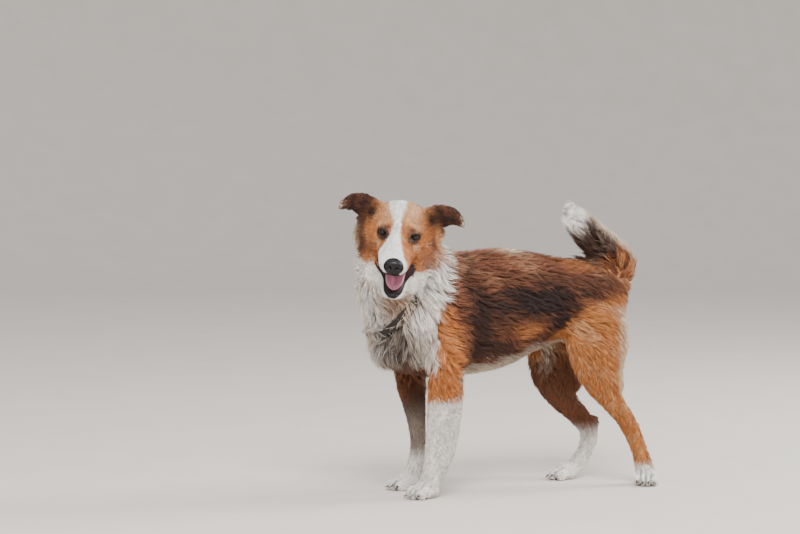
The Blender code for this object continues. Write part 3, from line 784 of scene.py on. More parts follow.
def rightForeColour(points, ragged):
    x, y, z = points.T
    patchy = ripple(points, 0.020, 41) + 0.4 * ragged
    height = z + 0.006 * ragged
    return layered(
        points, "rust",
        (0.4 * smoothStep(0.0, 0.9, patchy), "brown"),
        # dark on the inner side, partly the coat's own dark fur and partly painted shade
        (smoothStep(-0.100, -0.078, x + 0.006 * ragged), "dark", 0.65),
        (smoothStep(0.205, 0.165, height), "dirt"),
        (smoothStep(0.180, 0.130, height), "grey", 0.55),
        (smoothStep(0.094, 0.060, height), "white", 0.95))


def hindColour(points, ragged, side):
    x, y, z = points.T
    patchy = ripple(points, 0.024, 43) + 0.4 * ragged
    if side > 0:
        own, foot = [(smoothStep(0.075, 0.045, x) * smoothStep(0.30, 0.26, z), "peach", 0.5)], (0.052, 0.036)
    else:
        knee = bell(points, (-0.045, 0.150, 0.252), (0.020, 0.014, 0.017)) * (1 + 0.3 * ragged)
        # brown on the inner side, partly the coat's own colour and partly painted shade
        own, foot = [(smoothStep(-0.115, -0.085, x), "brown", 0.90),
                     (smoothStep(0.25, 0.13, z) * smoothStep(0.4, -0.5, patchy), "rust", 0.8),
                     (knee, "grey", 0.95)], (0.125, 0.085)
    fringe = smoothStep(0.236, 0.262, y - 0.35 * np.maximum(0.22 - z, 0)) * smoothStep(0.15, 0.24, z)
    return layered(
        points, "tan",
        (0.30 * smoothStep(0.0, 0.9, patchy), "peach"),
        (0.45 * smoothStep(0.1, 0.9, -patchy), "orange"),
        *own,
        (fringe, "cream", 0.85),
        (smoothStep(*foot, z + 0.004 * ragged), "white"))


def tailColour(points, ragged):
    x, y, z = points.T
    patchy = ripple(points, 0.026, 45) + 0.4 * ragged
    band = smoothStep(-0.010, 0.006, z - 0.488 - 0.64 * (y - 0.236) + 0.005 * ragged)
    streaky = smoothStep(-0.5, 0.7, ripple(points * (1.0, 1.0, 0.5), 0.016, 46) + 0.5 * ragged)
    tip = z - 0.549 - 1.07 * (y - 0.177) + 0.004 * ragged
    behind = y - np.interp(z, (0.44, 0.50, 0.53, 0.568, 0.60), (0.330, 0.312, 0.272, 0.226, 0.19))
    pale = smoothStep(-0.002, 0.010, behind + 0.004 * ragged) * smoothStep(0.47, 0.53, z)
    return layered(
        points, "rust",
        (0.8 * smoothStep(-0.5, 0.7, patchy), "orange"),
        (0.35 * smoothStep(0.2, 0.9, patchy), "peach"),
        (band, "dark", 0.92),
        (band * streaky * smoothStep(-0.02, 0.02, y - 0.215), "dirt", 0.75),
        (smoothStep(-0.040, -0.016, tip), "grey", 0.60),
        (pale, "cream", 0.8),
        (smoothStep(-0.014, -0.004, tip), "white"))


def earColour(points, ragged):
    x, y, z = toHead(points).T
    return layered(
        points, "dark",
        (np.abs(ripple(points, 0.03, 5)), "brown", 0.7),
        # painted highlight: peach along the rear and top edge of each ear
        (smoothStep(-0.082, -0.090, x + 0.002 * ragged), "peach", 0.65),
        (smoothStep(-0.046, -0.040, x + 0.002 * ragged), "rust", 0.6),
        (smoothStep(0.076, 0.060, np.abs(y) + 0.003 * ragged), "rust", 0.55),
        # painted highlight: cream at the ear tips
        (smoothStep(0.120, 0.136, np.abs(y) + 0.004 * ragged), "cream", 0.7))


def coatColour(points, weights, ragged):
    # the colours of all parts, weighed by the soft share that each part has at each point
    makers = {
        "head": headColour,
        "left_ear": earColour,
        "right_ear": earColour,
        "neck": bodyColour,
        "trunk": bodyColour,
        "tail": tailColour,
        "left_foreleg": leftForeColour,
        "right_foreleg": rightForeColour,
        "left_hind_leg": lambda *given: hindColour(*given, 1),
        "right_hind_leg": lambda *given: hindColour(*given, -1),
    }
    colour = np.zeros((len(points), 3))
    for name, maker in makers.items():
        weight = weights[:, fleshNames.index(name)]
        here = weight > 0.004
        colour[here] += weight[here, None] * maker(points[here], ragged[here])
    return colour / np.maximum(weights.sum(axis=1), 0.01)[:, None]


# bare places: the mouth, its lips, and the rims of the eyes and the nose

mouth = {
    "at": (-0.010, 0.008, 0.026, 0.050, 0.076, 0.094, 0.104),  # along the head
    "palate": (-0.066, -0.061, -0.0565, -0.0535, -0.0525, -0.0495, -0.043),  # underside of the muzzle
    "jawAt": (-0.020, 0.020, 0.050, 0.074, 0.088, 0.094),  # along the closed jaw
    "jawTop": (-0.039, -0.045, -0.0475, -0.0485, -0.0495, -0.054),
    "lipHeight": 0.0050,
    "lipBack": 0.001,  # how much higher the lips are towards the corners
    "lipUnder": (0.0050, 0.0030),  # how far the lips reach down the jaw
    "over": (0.0030, 0.0005),  # soft edges of the mouth above, below, at the back and at the sides
    "under": (0.0035, 0.0010),
    "back": (0.004, 0.012),
    "sides": (0.0430, 0.0395),
    "rightCorner": 0.008,  # how much further back it reaches on the right
}


def mouthMasks(points):
    # how much a point belongs to the inside of the mouth, and to the dark edge of the lips
    head = toHead(points)
    jaw = headToJaw(head)
    over = head[:, 2] - np.interp(head[:, 0], mouth["at"], mouth["palate"])
    under = np.interp(jaw[:, 0], mouth["jawAt"], mouth["jawTop"]) - jaw[:, 2]
    corner = mouth["rightCorner"] * (head[:, 1] < 0)
    ahead = smoothStep(*mouth["back"], head[:, 0] + corner) * (share("head") > 0.5)
    ahead = ahead * smoothStep(*mouth["sides"], np.abs(head[:, 1] - headShape["jawAside"] / 2))
    inside = smoothStep(*mouth["over"], over) * smoothStep(*mouth["under"], under) * ahead
    rise = mouth["lipHeight"] + mouth["lipBack"] * smoothStep(0.05, 0.01, head[:, 0])
    lips = smoothStep(rise + 0.001, rise - 0.001, over) * smoothStep(*mouth["lipUnder"], under) * ahead
    return inside, lips


bareRims = {
    # soft edges of the bare skin, as shares of the lids' opening and of the nose, and the nose's half sizes
    "eye": (1.30, 1.18),
    "nose": (1.14, 1.06),
    "noseHalf": (0.0145, 0.0195, 0.0165),
}
insideMouth, lips = mouthMasks(outline)
outlineHead = toHead(outline)
mirroredHead = np.stack([outlineHead[:, 0], np.abs(outlineHead[:, 1]), outlineHead[:, 2]], -1)
eyeDistance = np.linalg.norm(mirroredHead - (-headShape["eyeBack"], headShape["eyeApart"] / 2, 0.0), axis=1)
noseDistance = np.linalg.norm((outline - centreOf("nose")) @ headTurn.T / bareRims["noseHalf"], axis=1)
byEye = smoothStep(*bareRims["eye"], np.minimum(almond(outline, "left"), almond(outline, "right")))
byNose = smoothStep(*bareRims["nose"], noseDistance)
bare = np.clip(insideMouth + lips + byEye + byNose, 0, 1) * share("head")


# the four paws, where the model has them, and the gaps between their toes

pawShape = {
    "left_foreleg": {"at": (0.04005, -0.18879), "turn": 12, "size": 1.0},
    "right_foreleg": {"at": (-0.08395, -0.17079), "turn": -4, "size": 0.95},
    "left_hind_leg": {"at": (0.09405, 0.32521), "turn": 52, "size": 0.98},
    "right_hind_leg": {"at": (-0.05095, 0.20721), "turn": 0, "size": 0.94},
}
toeShape = {"apart": 0.0125, "gap": 0.0019, "deep": 0.0034, "half": 0.03, "end": 0.06, "fan": 4.0,
            "fanFrom": 0.03, "starts": (0.014, 0.020, 0.014), "fadeIn": (-0.004, 0.008)}
modelClaw = {"inner": 0.0445, "outer": 0.0335, "apart": 0.0135, "half": 0.0045, "height": 0.0145,
             "edge": 0.0015}
toePlaces = (-1.5, -0.5, 0.5, 1.5)  # across a paw, in distances between toes


def startOf(shape, toe):
    # the two inner toes reach further ahead
    return shape["inner"] if abs(toe) < 1 else shape["outer"]


def pawTurn(name):
    return math.radians(pawShape[name]["turn"]) * (1 if name.startswith("left") else -1) - math.pi / 2


def pawPlace(name, points):
    # from a paw's own frame, x to its toes, to the model's
    paw, turn = pawShape[name], pawTurn(name)
    x, y, z = np.moveaxis(points * paw["size"], -1, 0)
    return np.stack([paw["at"][0] + x * math.cos(turn) - y * math.sin(turn),
                     paw["at"][1] + x * math.sin(turn) + y * math.cos(turn), z], -1)


def inPaw(name, points):
    # how far points lie ahead of the middle of a paw and beside it
    paw, turn = pawShape[name], pawTurn(name)
    x, y = ((points[:, k] - paw["at"][k]) / paw["size"] for k in range(2))
    return x * math.cos(turn) + y * math.sin(turn), y * math.cos(turn) - x * math.sin(turn)


def onClaws(points):
    # 1 on the claws that the model's feet carry, so that no coat grows there
    total = np.zeros(len(points))
    for name, paw in pawShape.items():
        ahead, aside = inPaw(name, points)
        for toe in toePlaces:
            start = startOf(modelClaw, toe)
            beside = np.abs(aside - modelClaw["apart"] * toe) < modelClaw["half"]
            here = smoothStep(start, start + modelClaw["edge"], ahead) * beside * (ahead < toeShape["end"])
            total += here * (points[:, 2] < modelClaw["height"] * paw["size"])
    return np.clip(total, 0, 1)


def gapsOfToes(points):
    # 1 in the three creases in front of each paw, fading up the foot
    total = np.zeros(len(points))
    for name in pawShape:
        ahead, aside = inPaw(name, points)
        spread = aside / (1 + toeShape["fan"] * np.maximum(ahead - toeShape["fanFrom"], 0))
        for k, start in zip((-1, 0, 1), toeShape["starts"]):
            crease = np.exp(-(((spread - k * toeShape["apart"]) / toeShape["gap"]) ** 2))
            crease = crease * smoothStep(*(start + end for end in toeShape["fadeIn"]), ahead)
            total += crease * (np.abs(aside) < toeShape["half"]) * (ahead < toeShape["end"])
    return np.clip(total, 0, 1)


# the coat: depth and size of the locks for each part, then for places on it; lengths in metres

coatKeys = ("depth", "length", "width", "perArea", "lift", "clump")
coatShape = {
    # depth, length and width of the locks, how many grow on a square centimetre, their rise, size of a clump
    "head": (0.0034, 0.0115, 0.00088, 48, 0.9, 0.0045),
    "ear": (0.0018, 0.0135, 0.0009, 42, 1.2, 0.0040),
    "neck": (0.0200, 0.0500, 0.0012, 14, 1.0, 0.0095),
    "trunk": (0.0115, 0.0330, 0.00125, 13, 0.9, 0.0082),
    "tail": (0.0170, 0.0480, 0.0014, 14, 1.0, 0.0105),
    "foreleg": (0.0034, 0.0120, 0.0011, 21, 0.9, 0.0045),
    "hind_leg": (0.0048, 0.0160, 0.0012, 17, 0.9, 0.0055),
}

yOut, zOut, xHead = outline[:, 1], outline[:, 2], mirroredHead[:, 0]
hindLegs = share("left_hind_leg", "right_hind_leg")
foreLegs = share("left_foreleg", "right_foreleg")
behindEars = bell(mirroredHead, (-0.075, 0.085, -0.050), (0.025, 0.030, 0.045))
ruffEdge = smoothStep(-0.175, -0.145, yOut) * smoothStep(-0.07, -0.10, yOut) * smoothStep(0.36, 0.40, zOut)
paws = share(*pawShape) * smoothStep(0.055, 0.030, zOut)
zones = [
    # where, and the same six values there; None keeps what is there already
    (share("head") * smoothStep(-0.060, -0.085, xHead), (0.010, 0.032, 0.0012, 20, None, 0.008)),
    (share("head") * behindEars, (0.008, 0.026, 0.0011, 26, None, 0.007)),
    (share("head") * smoothStep(0.002, 0.030, xHead), (0.0018, 0.0065, 0.0007, 58, 0.7, 0.003)),
    (share("head") * smoothStep(0.030, 0.018, eyeDistance), (0.0010, 0.0050, 0.00065, 80, 0.6, 0.003)),
    (share("trunk") * smoothStep(-0.13, -0.18, yOut) * smoothStep(0.25, 0.29, zOut),
     (0.017, 0.048, None, None, None, 0.0125)),
    (share("trunk") * smoothStep(0.31, 0.28, zOut), (0.011, 0.036, None, None, None, None)),
    (share("neck", "trunk") * ruffEdge, (0.013, 0.034, None, None, None, 0.007)),
    (hindLegs * smoothStep(0.17, 0.25, zOut), (0.009, 0.027, None, 14, None, 0.007)),
    (foreLegs * smoothStep(0.20, 0.26, zOut), (0.006, 0.018, None, 17, None, 0.006)),
    (paws, (0.0016, 0.0066, 0.0009, 38, 0.6, 0.004)),
]
coat = {key: sum(regions[:, number] * coatShape[name.replace("left_", "").replace("right_", "")][place]
                 for number, name in enumerate(fleshNames)) for place, key in enumerate(coatKeys)}
for mask, values in zones:
    for key, value in zip(coatKeys, values):
        if value is not None:
            coat[key] = coat[key] * (1 - mask) + value * mask
sunkSkin = {
    "least": 0.0003,  # depth of the skin below the outline where it is bare
    "ofFlesh": 0.30,  # most depth, as a share of the thickness there
    "softened": (0.004, 0.010),  # depths between which the skin loses the outline's clumps
    "inLids": (1.04, 0.90),  # edge of the sockets, as shares of the lids' opening
    "behindEye": 0.72,  # their depth, as a share of the eye's radius
    "inClaws": 0.0016,
}
hairy = 1 - smoothStep(0.25, 0.6, bare)
coat["depth"] = np.minimum(coat["depth"] * hairy + sunkSkin["least"], sunkSkin["ofFlesh"] * thickness)
coat["depth"] = spreadOver(coat["depth"][:, None], skinEdges, 3)[:, 0]
coat["perArea"] = coat["perArea"] * hairy
skinPoints = outline - outlineNormals * coat["depth"][:, None]
soften = smoothStep(*sunkSkin["softened"], coat["depth"])[:, None]
skinPoints = skinPoints * (1 - soften) + spreadOver(skinPoints, skinEdges, 5) * soften
for side in sides:
    fromEye = skinPoints - centreOf(side + "_eye")
    within = smoothStep(*sunkSkin["inLids"], almond(skinPoints, side))[:, None]
    socket = sunkSkin["behindEye"] * eyeShape["radius"]
    inward = fromEye * (socket / np.linalg.norm(fromEye, axis=1, keepdims=True))
    skinPoints = skinPoints + (inward - fromEye) * within
gaps = gapsOfToes(outline) * paws
skinPoints = skinPoints - outlineNormals * (toeShape["deep"] * gaps)[:, None]
horny = onClaws(outline)
coat["perArea"] = coat["perArea"] * (1 - 0.75 * gaps) * (1 - horny)
coat["depth"] = coat["depth"] + sunkSkin["inClaws"] * horny

# the lie of the coat: a direction at each point, from the part's own habit, then laid along the surface
tailLine = {"height": (0.42, 0.46, 0.49, 0.52, 0.55, 0.58, 0.61),
            "y": (0.281, 0.306, 0.292, 0.256, 0.218, 0.188, 0.166)}
earTips = {side: fromHead(np.array([-0.044, 0.140 * sign, 0.012])) for side, sign in sides.items()}


def ways(*parts):
    # directions from three parts, each a number or an array
    return np.stack(np.broadcast_arrays(*parts), -1).astype(float)


def layOfCoat(points):
    x, y, z = points.T
    hx, hy, hz = toHead(points).T
    wide = np.clip(hy / 0.075, -1.3, 1.3)
    cheek = smoothStep(0.01, -0.04, hx)
    low = smoothStep(0.0, -0.06, hz)
    head = ways(-1, wide * (0.15 + 0.75 * cheek), 0.45 * (1 - low) * cheek - low * (0.25 + 0.8 * cheek))
    neck = ways(0.35 * x / 0.09, 0.45 + 0.5 * smoothStep(-0.26, -0.15, y), -1)
    front, rear = smoothStep(-0.13, -0.20, y), smoothStep(0.20, 0.27, y)
    trunk = ways(0.10 * np.sign(x), 1.0 - 0.85 * front - 0.55 * rear, -0.38 - 0.8 * front - 0.6 * rear)
    thigh, foot = smoothStep(0.16, 0.26, z), smoothStep(0.050, 0.025, z)[:, None]
    leg = ways(0, 0.10 + 0.45 * thigh * smoothStep(0.16, 0.25, y), -1)
    leg = leg * (1 - foot) + np.array([0, -0.8, -0.5]) * foot
    slope = np.gradient(np.array(tailLine["y"]), np.array(tailLine["height"]))
    beside = (y - np.interp(z, tailLine["height"], tailLine["y"])) / 0.04
    tail = ways(0.6 * (x - 0.008) / 0.03, np.interp(z, tailLine["height"], slope) + beside, 1)
    found = {"head": head @ headTurn, "neck": neck, "trunk": trunk, "tail": tail}
    for side in sides:
        found[side + "_ear"] = earTips[side] - points
        found[side + "_foreleg"] = found[side + "_hind_leg"] = leg
    return sum(regions[:, [fleshNames.index(name)]] * unit(way) for name, way in found.items())


def alongSkin(lay):
    # the part of each direction that lies in the surface
    return unit(lay - skinNormals * (lay * skinNormals).sum(axis=1, keepdims=True))


skinMesh.vertices.foreach_set("co", skinPoints.astype(np.float32).ravel())
skinMesh.update()
skinNormals = unit(spreadOver(meshNormals(skinMesh), skinEdges, 2))
lay = layOfCoat(outline)
for _ in range(3):
    lay = spreadOver(alongSkin(lay), skinEdges, 4)
lay = alongSkin(lay)
print("coat depth in mm:", np.round(np.percentile(coat["depth"], (0, 50, 100)) * 1000, 1).tolist())


# locks: guides first, then many locks that gather towards their guide

bodyTree = BVHTree.FromPolygons(skinPoints.tolist(), skinTriangles.tolist())
faceNormals = unit(skinNormals[skinTriangles].mean(axis=1))
faceLay = lay[skinTriangles].mean(axis=1)
corner = skinPoints[skinTriangles]
faceArea = np.linalg.norm(np.cross(corner[:, 1] - corner[:, 0], corner[:, 2] - corner[:, 0]), axis=1) / 2
lockShape = {
    "steps": 3,  # stretches of a guide's path
    "rooted": 0.0008,  # how deep in the skin a lock starts
    "past": 0.0015,  # how far a path may rise past the outline
    "curve": 1.8,  # how much sooner it rises than it runs
    "lengths": (0.85, 1.15),  # shares of the wanted length and rise that guides get
    "rises": (0.75, 1.08),
    "sways": ((0.28, 0.06, 3), (0.20, 0.02, 4)),  # amount, wavelength and seed of each turn aside
    "loose": 0.13,  # turn aside of single guides
    "follows": (0.72, 1.10),  # share of its guide's path that a lock follows
    "gathers": (0.20, 0.65),  # how far its tip closes on the guide
    "sinks": (-0.55, 0.10),  # change of its tip's height, for a depth of 1
    "stray": 0.035,  # how far its tip strays, for a length of 1
    "widths": (0.7, 1.25),
    "long": 0.0385,  # from this length on a lock has one ring more
    "profiles": {True: (0.75, 1.0, 0.72), False: (0.85, 0.9)},  # width at the rings of long and short locks
    "flat": 0.7,  # thickness for a width of 1
    "roll": 0.6,  # how far blades turn about their own length
    # painted shade and light: a lock is darker at its root, deep in the coat, and lighter at its tip
    "rootShade": 0.60,
    "tipShade": 1.10,
    "patch": 0.003,  # side of a lock's patch in the bake map
    "floor": 0.0001,  # height that no lock goes below
    "mostTriangles": 185000,  # in one piece
}
guideSteps = lockShape["steps"]


def scatter(perSquareMetre):
    # places spread evenly over the skin: one for each equal step along the running sum of the wanted count
    wanted = faceArea * perSquareMetre[skinTriangles].mean(axis=1)
    running = np.cumsum(wanted)
    count = int(running[-1])
    steps = (np.arange(count) + random.uniform(0, 1, count)) * (running[-1] / count)
    faces = np.minimum(np.searchsorted(running, steps), len(faceArea) - 1)
    first = np.sqrt(random.uniform(0, 1, count))
    second = random.uniform(0, 1, count)
    return faces, np.stack([1 - first, first * (1 - second), first * second], -1)


def onSkin(values, faces, weights):
    # a value of the skin's points read at places inside its faces
    found = values[skinTriangles[faces]]
    return (found * (weights[..., None] if found.ndim == 3 else weights)).sum(axis=1)


def guidePaths():
    # each path walks over the skin along the lie of the coat, and rises from the skin to the coat's outline
    faces, weights = scatter(hairy / coat["clump"] ** 2)
    place = onSkin(skinPoints, faces, weights)
    length, depth, lift = (onSkin(coat[key], faces, weights) for key in ("length", "depth", "lift"))
    length = length * random.uniform(*lockShape["lengths"], len(faces))
    lift = lift * random.uniform(*lockShape["rises"], len(faces))
    sway = sum(amount * ripple(place, *wave) for amount, *wave in lockShape["sways"])
    sway = sway + random.normal(0, lockShape["loose"], len(faces))
    normal, way = faceNormals[faces], unit(faceLay[faces])
    paths = [place - normal * lockShape["rooted"]]
    for step in range(1, guideSteps + 1):
        turned = way * np.cos(sway)[:, None] + np.cross(normal, way) * np.sin(sway)[:, None]
        ahead = place + turned * (length / guideSteps)[:, None]
        place, _, face = nearestOn(bodyTree, ahead)
        normal, way = faceNormals[face], unit(faceLay[face])
        height = depth * lift * (1 - (1 - step / guideSteps) ** lockShape["curve"])
        raised = place + normal * height[:, None]
        touch, facing, _ = nearestOn(skinTree, raised)
        beyond = ((raised - touch) * facing).sum(axis=1) - lockShape["past"]
        paths.append(raised - facing * np.clip(beyond, 0, 0.03)[:, None])
    return np.stack(paths, axis=1)


guides = guidePaths()
guideShade = random.normal(0, 1, len(guides))
guideTree = KDTree(len(guides))
for index, root in enumerate(guides[:, 0].tolist()):
    guideTree.insert(root, index)
guideTree.balance()
print("guides:", len(guides))


def clearOfStrap(path):
    # paths raised over the strap where the coat hides it, and which of them to keep
    turn, along, reach = aroundStrap(path)
    near = np.abs(along) < strapHalf + collarShape["beside"]
    top = strapTop(turn, along)
    lack = np.where(near, np.clip(top + collarShape["over"] - reach, 0, collarShape["mostOver"]), 0)
    lack[:, 0] = 0
    raised = path + outOfStrap(path, along) * lack[..., None]
    hit = (near & (reach > top - collarShape["below"])).any(axis=1) | near[:, 1] | near[:, 0]
    hidden = hit & (random.uniform(0, 1, len(path)) < strapShowing(turn[:, 1]))
    return raised, ~hidden


def lockPaths():
    faces, weights = scatter(coat["perArea"] * 1e4)
    root = onSkin(skinPoints, faces, weights) - faceNormals[faces] * lockShape["rooted"]
    near = np.array([guideTree.find(place)[1] for place in root.tolist()])
    guide = guides[near]
    count = len(root)
    depth, length, width = (onSkin(coat[key], faces, weights) for key in ("depth", "length", "width"))
    scale = random.uniform(*lockShape["follows"], count)
    gather = random.uniform(*lockShape["gathers"], count) * np.clip(length / 0.030, 0.45, 1)
    part = np.linspace(0, 1, guideSteps + 1)
    along = np.minimum(part[None, :] * scale[:, None], 1) * guideSteps
    before = np.minimum(along.astype(int), guideSteps - 1)
    rest = (along - before)[..., None]
    rows = np.arange(count)[:, None]
    path = guide[rows, before] * (1 - rest) + guide[rows, before + 1] * rest
    offset = root - guide[:, 0]
    path = path + offset[:, None, :] * (1 - gather[:, None] * part)[..., None]
    rise = depth * random.uniform(*lockShape["sinks"], count)
    path = path + faceNormals[faces][:, None, :] * (rise[:, None] * part)[..., None]
    loose = random.normal(0, 1, (count, 3)) * lockShape["stray"] * length[:, None]
    path, kept = clearOfStrap(path + loose[:, None, :] * (part**2)[None, :, None])
    made = {"path": path, "faces": faces, "weights": weights, "guide": near, "root": root,
            "width": width * random.uniform(*lockShape["widths"], count),
            "region": hardRegion[skinTriangles[faces, 0]], "long": length > lockShape["long"]}
    return {key: value[kept] for key, value in made.items()}


locks = lockPaths()
print("locks:", len(locks["faces"]), "of which long:", int(locks["long"].sum()))


lockTint = {
    "above": 0.4,  # height over the root at which the colour is read, for a depth of 1
    "stray": 0.0010,  # how far from there at random
    "ragged": (0.8, 0.6),  # shares of the guide and of chance in the raggedness of edges
    "shades": (0.10, 0.10),  # and in how light a lock is
    "inGaps": 0.6,  # painted shade: how much darker locks are in the creases between the toes
}


def lockColours():
    # read where the showing half of a lock lies, a little at random
    faces, weights, near = locks["faces"], locks["weights"], locks["guide"]
    depth = onSkin(coat["depth"], faces, weights)
    places = locks["path"][:, 2] + faceNormals[faces] * (lockTint["above"] * depth)[:, None]
    places = places + random.normal(0, lockTint["stray"], (len(faces), 3))
    byGuide, byChance = lockTint["ragged"]
    ragged = guideShade[near] * byGuide + random.normal(0, byChance, len(faces))
    shares = onSkin(regions, faces, weights)
    tint = coatColour(places, shares, ragged)
    byGuide, byChance = lockTint["shades"]
    shade = np.exp(byGuide * guideShade[near] + random.normal(0, byChance, len(faces)))
    gap = onSkin(gaps[:, None], faces, weights)
    # painted shade in the creases between the toes
    return tint * shade[:, None] * (1 - lockTint["inGaps"] * gap)


locks["tint"] = lockColours()


def lockTemplate(rings):
    # triangles and bake-map places of one lock: rings of three points that run into one tip
    faces, maps = [], []
    for ring in range(rings - 1):
        for k in range(3):
            a, b = ring * 3 + k, ring * 3 + (k + 1) % 3
            top, bottom = (ring + 1) / rings, ring / rings
            faces += [(a, a + 3, b + 3), (a, b + 3, b)]
            maps += [(k, bottom), (k, top), (k + 1, top), (k, bottom), (k + 1, top), (k + 1, bottom)]
    last = (rings - 1) * 3
    for k in range(3):
        faces.append((last + k, rings * 3, last + (k + 1) % 3))
        maps += [(k, (rings - 1) / rings), (k + 0.5, 1), (k + 1, (rings - 1) / rings)]
    faces.append((0, 1, 2))
    maps += [(0, 0), (1.5, 0.12), (3, 0)]
    return np.array(faces), np.array(maps) * (1 / 3, 1)


def lockMeshes(chosen, isLong, centres):
    # thin blades with a three-sided section along each path, widest near the root and pointed at the tip
    path = locks["path"][chosen]
    if not isLong:
        path = np.stack([path[:, 0], (path[:, 1] + path[:, 2]) / 2, path[:, 3]], axis=1)
    profile = np.array(lockShape["profiles"][isLong])
    rings = len(profile)
    along = unit(np.gradient(path, axis=1))
    side = unit(np.cross(along, faceNormals[locks["faces"][chosen]][:, None, :]))
    up = np.cross(side, along)
    roll = random.uniform(-lockShape["roll"], lockShape["roll"], len(chosen))[:, None, None]
    side, up = side * np.cos(roll) + up * np.sin(roll), up * np.cos(roll) - side * np.sin(roll)
    half = locks["width"][chosen][:, None, None] * profile[None, :, None] / 2
    middle, side, up = path[:, :rings], side[:, :rings] * half, up[:, :rings] * half * lockShape["flat"]
    ring = np.stack([middle + side, middle + up, middle - side], axis=2).reshape(len(chosen), rings * 3, 3)
    points = np.concatenate([ring, path[:, rings:rings + 1]], axis=1)
    points[..., 2] = np.maximum(points[..., 2], lockShape["floor"])
    faces, maps = lockTemplate(rings)
    each = rings * 3 + 1
    allFaces = (faces[None] + (np.arange(len(chosen)) * each)[:, None, None]).reshape(-1, 3)
    allMaps = (centres[:, None, :] + (maps - 0.5)[None] * lockShape["patch"]).reshape(-1, 2)
    # painted shade deep in the coat: each lock darker at the root and lighter towards the tip
    rootToTip = np.concatenate([np.repeat(np.linspace(0, 0.75, rings), 3), [1.0]])
    lighter = lockShape["rootShade"] + (lockShape["tipShade"] - lockShape["rootShade"]) * rootToTip**0.8
    colours = (locks["tint"][chosen][:, None, :] * lighter[None, :, None]).reshape(-1, 3)
    return points.reshape(-1, 3), allFaces, allMaps, colours


mapAxes = {"head": headTurn[0], "left_ear": headTurn[1], "right_ear": -headTurn[1],
           "neck": unit(np.array([0, 0.78, -0.62])), "trunk": np.array([0, 1, 0])}


def tubeMap(name, places):
    # unwraps a part like a tube: the turn about its own middle line, and the distance along it
    axis = mapAxes.get(name, np.array([0, 0, 1]))
    aside = unit(np.cross(axis, (0.3, 0.2, 1) if abs(axis[2]) < 0.8 else (1, 0.1, 0)))
    other = np.cross(axis, aside)
    distance = places @ axis
    low, high = distance.min(), distance.max()
    bins = np.linspace(low, high, 14)
    which = np.digitize(distance, bins)
    middle = np.array([places[which == k].mean(axis=0) if (which == k).any() else places.mean(axis=0)
                       for k in range(len(bins) + 1)])
    stops = np.append(bins, high + 0.001)
    centre = np.stack([np.interp(distance, stops, middle[:, k]) for k in range(3)], -1)
    fromCentre = places - centre
    turn = np.arctan2(fromCentre @ aside, fromCentre @ other) / (2 * math.pi) + 0.5
    return np.stack([turn, (distance - low) / (high - low)], -1), distance


def dressPart(name, material):
    # the locks of one part, in as many pieces as keep each within the most triangles for one piece
    inPart = np.flatnonzero(locks["region"] == fleshNames.index(name))
    flat, distance = tubeMap(name, locks["root"][inPart])
    triangles = np.where(locks["long"][inPart], 16, 10)
    pieces = int(math.ceil(triangles.sum() / lockShape["mostTriangles"]))
    order = np.argsort(distance)
    turn = np.cumsum(triangles[order]) / triangles.sum() * pieces
    for index in range(pieces):
        members = order[(turn > index) & (turn <= index + 1)]
        local = flat[members]
        local[:, 1] = (local[:, 1] - local[:, 1].min()) / (np.ptp(local[:, 1]) + 1e-9)
        local = 0.01 + 0.98 * local
        sets = []
        for isLong in (True, False):
            chosen = locks["long"][inPart[members]] == isLong
            if chosen.any():
                sets.append(lockMeshes(inPart[members][chosen], isLong, local[chosen]))
        points, faces = joined([one[:2] for one in sets])
        mesh = meshFrom("coat_" + name, points, faces)
        layer = mesh.uv_layers.new(name="OFBake")
        layer.data.foreach_set("uv", np.vstack([one[2] for one in sets]).astype(np.float32).ravel())
        setColour(mesh, "tint", np.vstack([one[3] for one in sets]))
        pieceName = "coat_" + name + ("_" + str(index + 1) if pieces > 1 else "")
        addPiece(pieceName, mesh, material)
        print(pieceName, len(faces), "triangles")
    return triangles.sum()


# finishes of the coat and of the skin under it

def furFinish():
    look = Finish("rough coat", specular=0.22)
    fine, broad = look.noise(260.0, 2), look.noise(34.0)
    look.link(look.shaded(look.attribute("tint"), 0.80 + 0.26 * fine + 0.16 * broad), "Base Color")
    look.link(0.62 + 0.22 * fine, "Roughness")
    return look.material


def skinFinish():
    # short hair drawn in relief, and smooth damp skin where the coat is bare
    look = Finish("short coat and skin", specular=0.25)
    wet = look.attribute("bare", 2)
    hairs = look.noise(900.0)
    look.link(look.shaded(look.attribute("tint"), (0.58 + 0.50 * hairs) * (1 - wet) + wet), "Base Color")
    look.link(0.80 - 0.42 * wet, "Roughness")
    look.bump(hairs * (1 - 0.7 * wet), 0.5, 0.0012)
    return look.material


def skinColour():
    colour = mixed(coatColour(outline, regions, np.zeros(len(outline))), bareSkin, "lip")
    deep = smoothStep(0.078, 0.050, toHead(outline)[:, 0])
    colour = mixed(colour, insideMouth * deep, "gum", 0.35)
    colour = mixed(colour, horny, "dark")
    # painted shade in the creases between the toes
    return colour * (1 - 0.75 * gaps)[:, None]


bareSkin = smoothStep(0.2, 0.7, bare)
setColour(skinMesh, "tint", skinColour())
setNumber(skinMesh, "bare", bareSkin)
addPiece("skin", skinMesh, skinFinish(), fleshNames)

furLook = furFinish()
coatTriangles = sum(dressPart(name, furLook) for name in fleshNames)
print("coat:", coatTriangles, "triangles")


# eyes: a globe with a bulging cornea, turned to what the dog looks at, and lids that close over it

